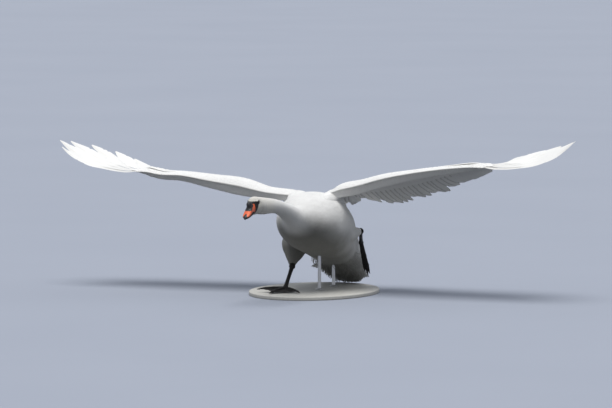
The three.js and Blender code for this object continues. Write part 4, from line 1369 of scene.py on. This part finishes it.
def make_thigh_coat(finish, name):
    """Plumage of a thigh, fine and close near the bare ankle."""
    coat = Coat(f"thigh_coat_{name}")
    surface = thigh_surface(name)
    grow = curve_through([(0, 12), (1, 11), (2, 8.5), (3, 5), (4, 3)])
    places = places_by_exposure(surface, np.arange(0, 6.3, 0.5), grow, -0.3, CUFF[name])
    a, b, gap = tiles(surface, places, grow(places) * 1.1, 0, TURN, coat.random, closed=True)
    coat.lay(surface, SOFT, a, b, gap * 3.1, gap * 1.8, 0.1 * np.sin(3 * b), -0.15 * gap,
             0.2 + 1.4 * ramp(2.6, 3.9, a), 0.03 * gap, ((0, 4), (0, TURN)), loose=1.4)
    coat.build(finish)


# ---------------- coats of the wings

WING_SPANS = ((-60, 420), (0, HALF_SPAN))
lie_outward = curve_through([(60, -0.03), (300, 0.04), (480, 0.1), (WRIST, 0.22), (650, 0.55),
                             (710, 0.85), (HAND_END, 1.12)])
great_length = curve_through([(40, 66), (90, 84), (300, 98), (WRIST, 86), (650, 84), (HAND_END, 62)])
# Rows of coverts: share of the band between leading edge and flight feathers, length, width.
UPPER_ROWS = ((0.0, 14, 10), (0.035, 15, 11), (0.075, 17, 12), (0.12, 19, 13), (0.17, 22, 14),
              (0.225, 25, 15), (0.285, 29, 16.5), (0.35, 33, 18), (0.42, 38, 19.5),
              (0.50, 44, 21.5), (0.59, 50, 23.5), (0.70, 62, 26))
LOWER_ROWS = ((-0.008, 8, 9), (0.0, 15, 10), (0.012, 17, 10), (0.026, 18, 11), (0.042, 19, 11),
              (0.062, 21, 12), (0.09, 24, 13), (0.125, 26, 14), (0.165, 29, 15), (0.215, 32, 16),
              (0.275, 36, 17.5), (0.34, 40, 19), (0.41, 44, 20), (0.49, 49, 22), (0.59, 54, 24),
              (0.71, 60, 25))
# Great coverts: how many of the innermost are left out, how far they start before the flight
# feathers, share of great_length, width and its loss on the hand, heights of root, tip and crown.
UPPER_GREAT = (0, 24, 1, 31, 7, -1.6, 1.5, 1.0)
LOWER_GREAT = (2, 20, 0.78, 28, 6, -1.4, 1.6, 0.9)


COVERT_ROLL = -0.06


def make_covert_coat(finish, name, surface, rows, start, lift, great):
    """Coverts over one side of a wing's arm and hand, scaled with the width of the band they
    cover, with the great coverts last."""
    coat = Coat(name)
    for place, length, width in rows:
        xs = []
        x = start + 0.5 * width * coat.random.uniform()
        while x < HAND_END - 3:
            xs.append(x)
            x += width * 0.74 * (1 - 0.35 * float(ramp(WRIST, HAND_END, x)))
        x = np.array(xs)
        band = covert_y(x) - leading_y(x)
        y = leading_y(x) + (place * band if place < 0 else np.maximum(place * band, 0.8))
        x = x + 0.12 * width * coat.random.uniform(-1, 1, len(x))
        y = y + 0.1 * length * ramp(-0.01, 0.08, place) * coat.random.uniform(-1, 1, len(x))
        root = -2.4 + 2.4 * ramp(0.04, 0, place)
        tip = lift * float(0.4 + 0.6 * ramp(0.1, 0.5, place)) + 0.9 * ramp(0.5, 0.7, place)
        coat.lay(surface, BROAD if length > 40 else SOFT, y, x, length * np.clip(band / 175, 0.5, 1),
                 width * np.clip(band / 150, 0.62, 1.05), lie_outward(x), root, tip, 0.05 * width,
                 WING_SPANS, tone=(0.1, 1), bend=-0.04 * length, loose=0.8, roll=COVERT_ROLL)
    skipped, back, share, width, loss, root, tip, crown = great
    arm, hand = np.linspace(52, WRIST - 4, 26), np.linspace(WRIST + 14, HAND_END - 14, 11)
    x = np.concatenate([arm[skipped:], hand])
    coat.lay(surface, BROAD, covert_y(x) - back, x, share * great_length(x),
             width - loss * ramp(WRIST, HAND_END, x), lie_outward(x), root, tip, crown,
             WING_SPANS, bend=-3, loose=0.6, roll=COVERT_ROLL)
    coat.build(finish)


def make_coverts(finish, name, wing):
    """Coverts over and under a wing."""
    make_covert_coat(finish, f"wing_{name}_upper_coverts", wing.upper, UPPER_ROWS, 42, 1.2, UPPER_GREAT)
    make_covert_coat(finish, f"wing_{name}_under_coverts", wing.lower, LOWER_ROWS, ARM_ROOT + 6, 1.0,
                     LOWER_GREAT)


# ---------------- flight feathers

NICKS = 3                     # breaks in each edge of a flight feather
NICK_SHARES = (0.8, 0.94)     # what is left of the vane's width at a break
TIP_LAG = 0.8
QUILL_ARCH = 0.0035           # how much a vane bends down, per square of the way off its shaft
QUILL_THICKNESS = 0.9
ACROSS = np.array([-1, -0.8, -0.55, -0.3, -0.12, -0.05, 0, 0.05, 0.12, 0.3, 0.55, 0.8, 1.0])


def places_along(stations):
    """Shares of a feather's length from root to tip, a little closer together at the tip."""
    return np.linspace(0, 1, stations) ** 0.9


def quill_grid(wing, roots, tips, t, half, inner, outer, height, tilt, bow, drop, random):
    """Flight feathers in plan: each runs from its root to its tip (distance out, distance back)
    with a sideways bow, a sine of the way along. Its two vanes are inner and outer shares of its
    half-width, and its height is that of the sheet there plus a tilt that lays one over the
    next, less a drop that grows with the cube of the way along. The edge is nicked here and
    there where barbs part. Gives X, Y, height, place across and along, and shares of both."""
    count, stations = len(roots), len(t)
    half, inner, outer, tilt = (np.broadcast_to(v, (count, stations))[..., None]
                                for v in (half, inner, outer, tilt))
    t = t[None, :, None]
    along = tips - roots
    reach = np.linalg.norm(along, axis=1)
    along = along / reach[:, None]
    nicks = np.ones((count, stations, 2))
    for side in range(2):
        for k in range(count):
            for spot in random.choice(np.arange(stations // 3, stations - 3), NICKS, replace=False):
                nicks[k, spot, side] = random.uniform(*NICK_SHARES)
    w = ACROSS[None, None]
    side = w * half * np.where(w < 0, inner * nicks[..., :1], outer * nicks[..., 1:])
    aside = side + bow[:, None, None] * np.sin(np.pi * t)
    lag = np.abs(w) ** 2.2 * (0.35 + 0.65 * (w < 0)) * half * ramp(0.7, 1, t)
    travelled = t * reach[:, None, None] - lag * TIP_LAG
    out, back = along.T[:, :, None, None]
    x = roots[:, 0, None, None] + out * travelled + back * aside
    y = roots[:, 1, None, None] + back * travelled - out * aside
    z = (height(x, y) + side * tilt * np.minimum(1, 5 * t) - QUILL_ARCH * side ** 2
         - drop[:, None, None] * t ** 3)
    w, t = (np.broadcast_to(v, side.shape) for v in (w, t))
    return wing.side * x, y, z, side, travelled, w, t


def build_quills(finish, name, node, grid, fold, shaft=1.0):
    """One object of flight feathers. Each is a closed loop of rings: its upper side from one edge
    to the other, then the lower side back. The sheet is thin at its edges and carries a shaft, a
    bell curve round the middle, on both sides."""
    x, y, z, side, travelled, w, t = grid
    half = (QUILL_THICKNESS / 2 * (0.25 + 0.75 * (1 - np.abs(w) ** 3))
            + shaft * bell(w / 0.07) * (1 - 0.8 * t))
    upper, lower = (np.stack([x, y, z + lift], axis=-1) for lift in (half, -half))
    rings = np.concatenate([upper, lower[..., ::-1, :]], axis=-2)
    count = len(side)

    def per_point(values):
        doubled = np.concatenate([values, values[..., ::-1]], axis=-1)
        ends = doubled[:, [0, -1]].mean(-1)
        return np.concatenate([doubled.reshape(count, -1), ends], axis=1).reshape(-1)

    under = np.concatenate([np.zeros_like(side), np.ones_like(side)], axis=-1).reshape(count, -1)
    under = np.concatenate([under, np.zeros((count, 2))], axis=1).reshape(-1)
    size = len(under) // count
    bake = [(np.repeat(np.arange(count), size) + 0.5 + 0.42 * per_point(w)) / count,
            0.02 + 0.46 * per_point(t) + 0.5 * under]
    barbs = [per_point(side) / SHEATH, per_point(travelled) / SHEATH]
    # painted shade where feathers overlap, a quarter as strong on the upper side as on the lower
    obj = make_mesh(name, [tube_shell(ring) for ring in rings],
                    {"OFBake": np.stack(bake, axis=-1), "Vane": np.stack(barbs, axis=-1)},
                    tone=np.repeat(seeded(name).uniform(0.2, 1, count), size), reach=per_point(t),
                    fold=per_point(fold) * (0.25 + 0.75 * under))
    place_piece(obj, finish, "flight_feathers", node)


def make_secondaries(finish, name, wing):
    """Secondaries and tertials of a wing, one over the next outward."""
    number = np.arange(SECONDARIES) + 0.5
    root_x = curve_through([(0, 96), (SECONDARIES, WRIST + 6)])(number)
    tip_x = curve_through([(0, 104), (4, 196), (SECONDARIES, 616)])(number)
    roots = np.stack([root_x, covert_y(root_x) - 6], axis=1)
    tips = np.stack([tip_x, leading_y(tip_x) + chord_length(tip_x)], axis=1)
    random = seeded(f"secondaries {name}")
    tips[:, 1] += random.uniform(-20, 4, SECONDARIES)
    tips[:, 0] += random.uniform(-5, 5, SECONDARIES)
    t = places_along(30)
    half = curve_through([(0, 5), (0.08, 8), (0.25, 14), (0.5, 16), (0.7, 14), (0.85, 10.5),
                          (0.94, 7), (1, 2.5)])(t)
    tilt = 0.12 + (0.14 + random.uniform(-0.05, 0.09, (SECONDARIES, 1))) * ramp(0.5, 0.9, t)
    grid = quill_grid(wing, roots, tips, t, half, 1.25, 0.80, wing.vane, tilt,
                      random.uniform(-6, 1, SECONDARIES), random.uniform(-4, 15, SECONDARIES), random)
    # painted shade along the edges of the vanes, where neighbours overlap
    build_quills(finish, f"wing_{name}_secondary_feathers", f"wing_{name}_secondaries", grid,
                 ramp(0.55, 1, np.abs(grid[5])) * 0.7)


def make_primaries(finish, name, wing):
    """The ten primaries of a wing: broad inner ones, and outer ones whose outer vane narrows over
    the last part, so that their tips stand apart."""
    k = np.arange(PRIMARIES)[:, None]
    at = np.arange(PRIMARIES) + 0.5
    rail = curve_through([(0, WRIST + 12), (6, 706), (9, 752), (PRIMARIES, HAND_END + 3)])(at)
    roots = np.stack([rail, covert_y(np.minimum(rail, HAND_END)) - 14], axis=1)
    tips = table_through([0.5, 3.5, 5.5, 7.5, 8.5, 9.5],
                         [(652, 277), (822, 240), (968, 188), (1124, 72), (1152, 24), (1128, -8)])(at)
    random = seeded(f"primaries {name}")
    t = places_along(44)
    half = np.stack([curve_through([(0, 6), (0.1, 15), (0.3, 30), (0.6, 37 - 0.5 * i), (0.85, 31 - i),
                                    (0.95, 18 - 0.7 * i), (1, 4)])(t) for i in range(PRIMARIES)])
    inner = 1.25 - 0.15 * ramp(0.62, 0.8, t) * ramp(5, 7, k)
    outer = 0.8 - 0.3 * ramp(0.55, 0.75, t) * ramp(4, 6, k) - 0.1 * ramp(6, 9, k)
    tilt = 0.11 - 0.5 * ramp(0.42, 0.85, t) * ramp(1, 5, k)
    grid = quill_grid(wing, roots, tips, t, half, inner, outer, wing.vane, tilt, (at - 4.5) * 1.6,
                      random.uniform(0, 14, PRIMARIES) * (at < 4), random)
    # painted shade on the outer vanes, where the next feather overlaps
    build_quills(finish, f"wing_{name}_primary_feathers", f"wing_{name}_primaries", grid,
                 ramp(0.1, 0.9, grid[5]) * 0.4, shaft=1.3)


def make_alula(finish, name, wing):
    """The alula: three short stiff feathers on the thumb, standing a little off the hand."""
    step = np.arange(3)
    roots = np.stack([WRIST + 26 + 7.0 * step, leading_y(WRIST + 30) + 32 + 5.0 * step], axis=1)
    tips = np.stack([742 - 24.0 * step, leading_y(742) + 45 + 6.0 * step], axis=1)
    t = places_along(24)
    half = curve_through([(0, 4), (0.3, 12), (0.6, 13), (0.9, 9), (1, 2.5)])(t)
    x, y, z, *rest, t = quill_grid(
        wing, roots, tips, t, half, 1.1, 0.75, lambda x, y: wing.top(x, np.maximum(wing.share(x, y), 0)),
        0.04, np.full(3, 2.0), np.zeros(3), seeded(f"alula {name}"))
    z = z + 2.2 - 5 * (1 - t) ** 2 + 1.2 * t * t + 1.1 * (2 - step)[:, None, None]
    build_quills(finish, f"wing_{name}_alula_feathers", f"wing_{name}_alula", (x, y, z, *rest, t), 0 * t)


# ---------------- tail

TAIL_START = 34               # distance from the fan's root at which its feathers start
LOOSE_FEATHERS = 1100         # at the vent
RUMP_ROWS = ((25.2, 60), (25.9, 66), (26.6, 70), (27.2, 66), (27.7, 54))   # row of the body, length

def tail_point(angle, distance, lift):
    """A place in the fan of the tail: an angle off its middle, a distance from its root in the
    rump, and a lift off its sheet, whose sides droop by the square of the angle."""
    (turn_c, turn_s), (c, s) = cos_sin(TAIL_TURN + angle), cos_sin(TAIL_PITCH)
    droop = (np.abs(angle) / TAIL_SPREAD) ** 2 * distance * 0.1
    rear = turn_c * distance
    return (TAIL_ROOT[0] + turn_s * distance, TAIL_ROOT[1] + rear * c + lift * s,
            TAIL_ROOT[2] - rear * s + lift * c - droop)


def make_tail(finish):
    """Tail feathers in their fan, the middle ones uppermost."""
    random = seeded("tail")
    place = np.linspace(-1, 1, RECTRICES)[:, None, None]
    t = places_along(26)[None, :, None]
    w = ACROSS[None, None]
    length = TAIL_LENGTH * (0.9 + 0.1 * (1 - place ** 2)) + random.uniform(-3, 3, place.shape)
    half = curve_through([(0, 5), (0.3, 12), (0.6, 15.5), (0.88, 15.5), (0.96, 12), (1, 5)])(t)
    side = w * half * np.where(w * place > 0, 0.85, 1.15)
    distance = TAIL_START + (length - TAIL_START) * t - TIP_LAG * np.abs(w) ** 2 * half * ramp(0.75, 1, t)
    angle = place * (TAIL_SPREAD - 2) + np.degrees(side / np.maximum(distance, 60))
    lift = 2.2 * (1 - np.abs(place)) * 1.5 - 1.5 + side * 0.06 * -np.sign(place) - 0.004 * side ** 2
    grid = np.broadcast_arrays(*tail_point(angle, distance, lift), side, distance, w, t)
    # painted shade along the edges, where neighbouring tail feathers overlap
    build_quills(finish, "tail_feathers", "tail", grid, 0.3 * ramp(0.2, 0.9, np.abs(grid[5])))


def make_tail_coverts(finish):
    """Long soft feathers round the end of the rump, over and under the tail's root, and the loose
    ragged ones that hang from the vent."""
    coat = Coat("tail_coverts")
    for row, length in RUMP_ROWS:
        b = np.linspace(0, TURN, 25 + int(row) % 2)[:-1]
        b = b + coat.random.uniform(-0.1, 0.1, len(b))
        coat.lay(body_surface, BROAD, row, b, length, 30, 0.0, -3, 2.5, 1.4, BODY_SPANS, loose=1.3)
    a = coat.random.uniform(22.5, 27.6, LOOSE_FEATHERS)
    b = coat.random.uniform(np.pi + 0.1, TURN - 0.1, len(a))
    long = coat.random.uniform(0.6, 1.3, len(a)) * (36 + 34 * ramp(23, 27, a))
    turn, lift, bend = (coat.random.uniform(low, high, len(a))
                        for low, high in ((-0.5, 0.5), (0, 24), (-5, 5)))
    coat.lay(body_surface, SOFT, a, b, long, long * 0.07, turn, -3, lift, 0.3, BODY_SPANS,
             bend=bend, loose=1.5)
    coat.build(finish)


# ---------------- display stand

ROD_RADIUS = 7
BOARD_EDGE = 4.0              # radius of the base's rounded edges


def make_board(finish):
    """The oval base with rounded edges, in its node's box."""
    low, high = (np.array(corner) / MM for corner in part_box("stand_base"))
    middle, half = (low + high) / 2, (high - low) / 2
    thick = half[2] * 2
    bend = np.linspace(0, np.pi / 2, 7)
    fall, rise = BOARD_EDGE * (1 - np.sin(bend)), BOARD_EDGE * (1 - np.cos(bend))
    inset = np.concatenate([[60, 8], fall, rise, [8, 60]])[:, None]
    level = np.concatenate([[0, 0], rise, thick - fall, [thick, thick]])[:, None]
    turn = circle(180)[None]
    rings = stack(middle[0] + (half[0] - inset) * np.cos(turn),
                  middle[1] + (half[1] - inset) * np.sin(turn), level - BASE_HEIGHT)
    place_piece(make_mesh("stand_board", [tube_shell(rings)]), finish, "stand_board", "stand_base")


def make_rod(finish, name):
    """A rod with its flange, in its node's box: a profile turned round an upright axis."""
    low, high = (np.array(corner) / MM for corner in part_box(f"stand_rod_{name}"))
    centre, flange = (low + high) / 2, (high[0] - low[0]) / 2
    profile = [(flange - 0.6, 0), (flange, 0.6), (flange, 2.6), (flange - 0.8, 3.8), (flange - 2.4, 4.6),
               (ROD_RADIUS + 2, 5), (ROD_RADIUS + 0.6, 5.4), (ROD_RADIUS, 7),
               (ROD_RADIUS, high[2] - low[2] - 1), (ROD_RADIUS, high[2] - low[2])]
    radius, level = np.array(profile).T[:, :, None]
    turn = circle(48)[None]
    rings = stack(centre[0] + radius * np.cos(turn), centre[1] + radius * np.sin(turn),
                  low[2] - BASE_HEIGHT + level)
    rod = make_mesh(f"stand_steel_{name}", [tube_shell(rings)])
    place_piece(rod, finish, "stand_steel", f"stand_rod_{name}")


# ---------------- studio

CAMERA_AZIMUTH = 22
CAMERA_ELEVATION = 4.5
CAMERA_DISTANCE = 20
CAMERA_LENS = 283.6
AIM = (-0.018, 0.0, 0.3657)
FLOOR_SIZE = 240
FLOOR = (0.315, 0.345, 0.415, 1), (0.345, 0.375, 0.445, 1)
SHADE = (0.26, 0.265, 0.27, 1), (0.30, 0.305, 0.31, 1)
SKY = (0.86, 0.91, 1.0, 1)
SKY_STRENGTH = 0.48
# Suns: name, strength, spread, azimuth and elevation in degrees, colour.
LAMPS = (("key", 2.5, 36, 12, 72, (1.0, 0.985, 0.96)), ("rim", 0.25, 40, 160, 40, (0.95, 0.97, 1.0)))


def towards(azimuth, elevation):
    """Way from the bird to a place round it, with azimuth nought in front of it."""
    (ca, sa), (ce, se) = cos_sin(azimuth), cos_sin(elevation)
    return Vector((sa * ce, -ca * ce, se))


def make_studio():
    """A plain pale floor that throws no light back, over a dark one that takes the light from
    below away, a bright sky with a large soft light high in it, and a camera with a long lens,
    level with the bird."""
    pale = material("studio floor", lambda graph: [
        graph.mix(graph.noise(graph.object_place(), 0.7), *FLOOR)], Roughness=0.9)
    dark = material("studio shade", lambda graph: [
        graph.mix(graph.noise(graph.object_place(), 0.7), *SHADE)], Roughness=1.0)
    for name, height, finish in (("studio_floor", 0, pale), ("studio_shade", -0.4, dark)):
        bpy.ops.mesh.primitive_plane_add(size=FLOOR_SIZE, location=(0, 0, height))
        plane = bpy.context.object
        plane.name = name
        plane.data.materials.append(finish)
        plane.visible_diffuse = name == "studio_shade"
    scene = bpy.context.scene
    scene.world = bpy.data.worlds.new("studio")
    scene.world.use_nodes = True
    sky = scene.world.node_tree.nodes["Background"]
    sky.inputs["Color"].default_value = SKY
    sky.inputs["Strength"].default_value = SKY_STRENGTH
    for name, strength, spread, azimuth, elevation, colour in LAMPS:
        lamp = bpy.data.lights.new(name, "SUN")
        lamp.energy = strength
        lamp.angle = np.radians(spread)
        lamp.color = colour
        light = bpy.data.objects.new(name, lamp)
        scene.collection.objects.link(light)
        way = towards(azimuth, elevation)
        light.rotation_euler = way.to_track_quat("Z", "Y").to_euler()
        light.location = way * 5
    lens = bpy.data.cameras.new("camera")
    lens.lens = CAMERA_LENS
    lens.sensor_width = 36
    lens.clip_end = 400
    camera = bpy.data.objects.new("camera", lens)
    scene.collection.objects.link(camera)
    back = towards(CAMERA_AZIMUTH, CAMERA_ELEVATION)
    camera.location = Vector(AIM) + Vector((0, 0, BASE_HEIGHT * MM)) + back * CAMERA_DISTANCE
    camera.rotation_mode = "QUATERNION"
    camera.rotation_quaternion = (-back).to_track_quat("-Z", "Y")
    scene.camera = camera
    scene.view_settings.view_transform = "Standard"


# ---------------- the whole model

make_skin(SKIN)
for which, wing_of in WINGS.items():
    make_eye(EYE, which, wing_of.side)
    make_eyelids(BLACK_HORN, which, wing_of.side)
make_bill(ORANGE_HORN, BLACK_HORN)
make_knob(BLACK_HORN)
for which in WINGS:
    make_shank(LEG_SKIN, which)
    make_foot(LEG_SKIN, CLAW_HORN, which)
make_body_coats(BODY_PLUMAGE)
for make_pieces in (make_scapulars, make_shoulder_feathers):
    for which, wing_of in WINGS.items():
        make_pieces(BODY_PLUMAGE, which, wing_of)
for which in WINGS:
    make_thigh_coat(BODY_PLUMAGE, which)
for which, wing_of in WINGS.items():
    make_coverts(BODY_PLUMAGE, which, wing_of)
for make_pieces in (make_secondaries, make_primaries, make_alula):
    for which, wing_of in WINGS.items():
        make_pieces(FLIGHT_FEATHERS, which, wing_of)
make_tail(FLIGHT_FEATHERS)
make_tail_coverts(BODY_PLUMAGE)
make_board(PAINTED_BOARD)
for which in ("front", "rear"):
    make_rod(BRUSHED_STEEL, which)
make_studio()
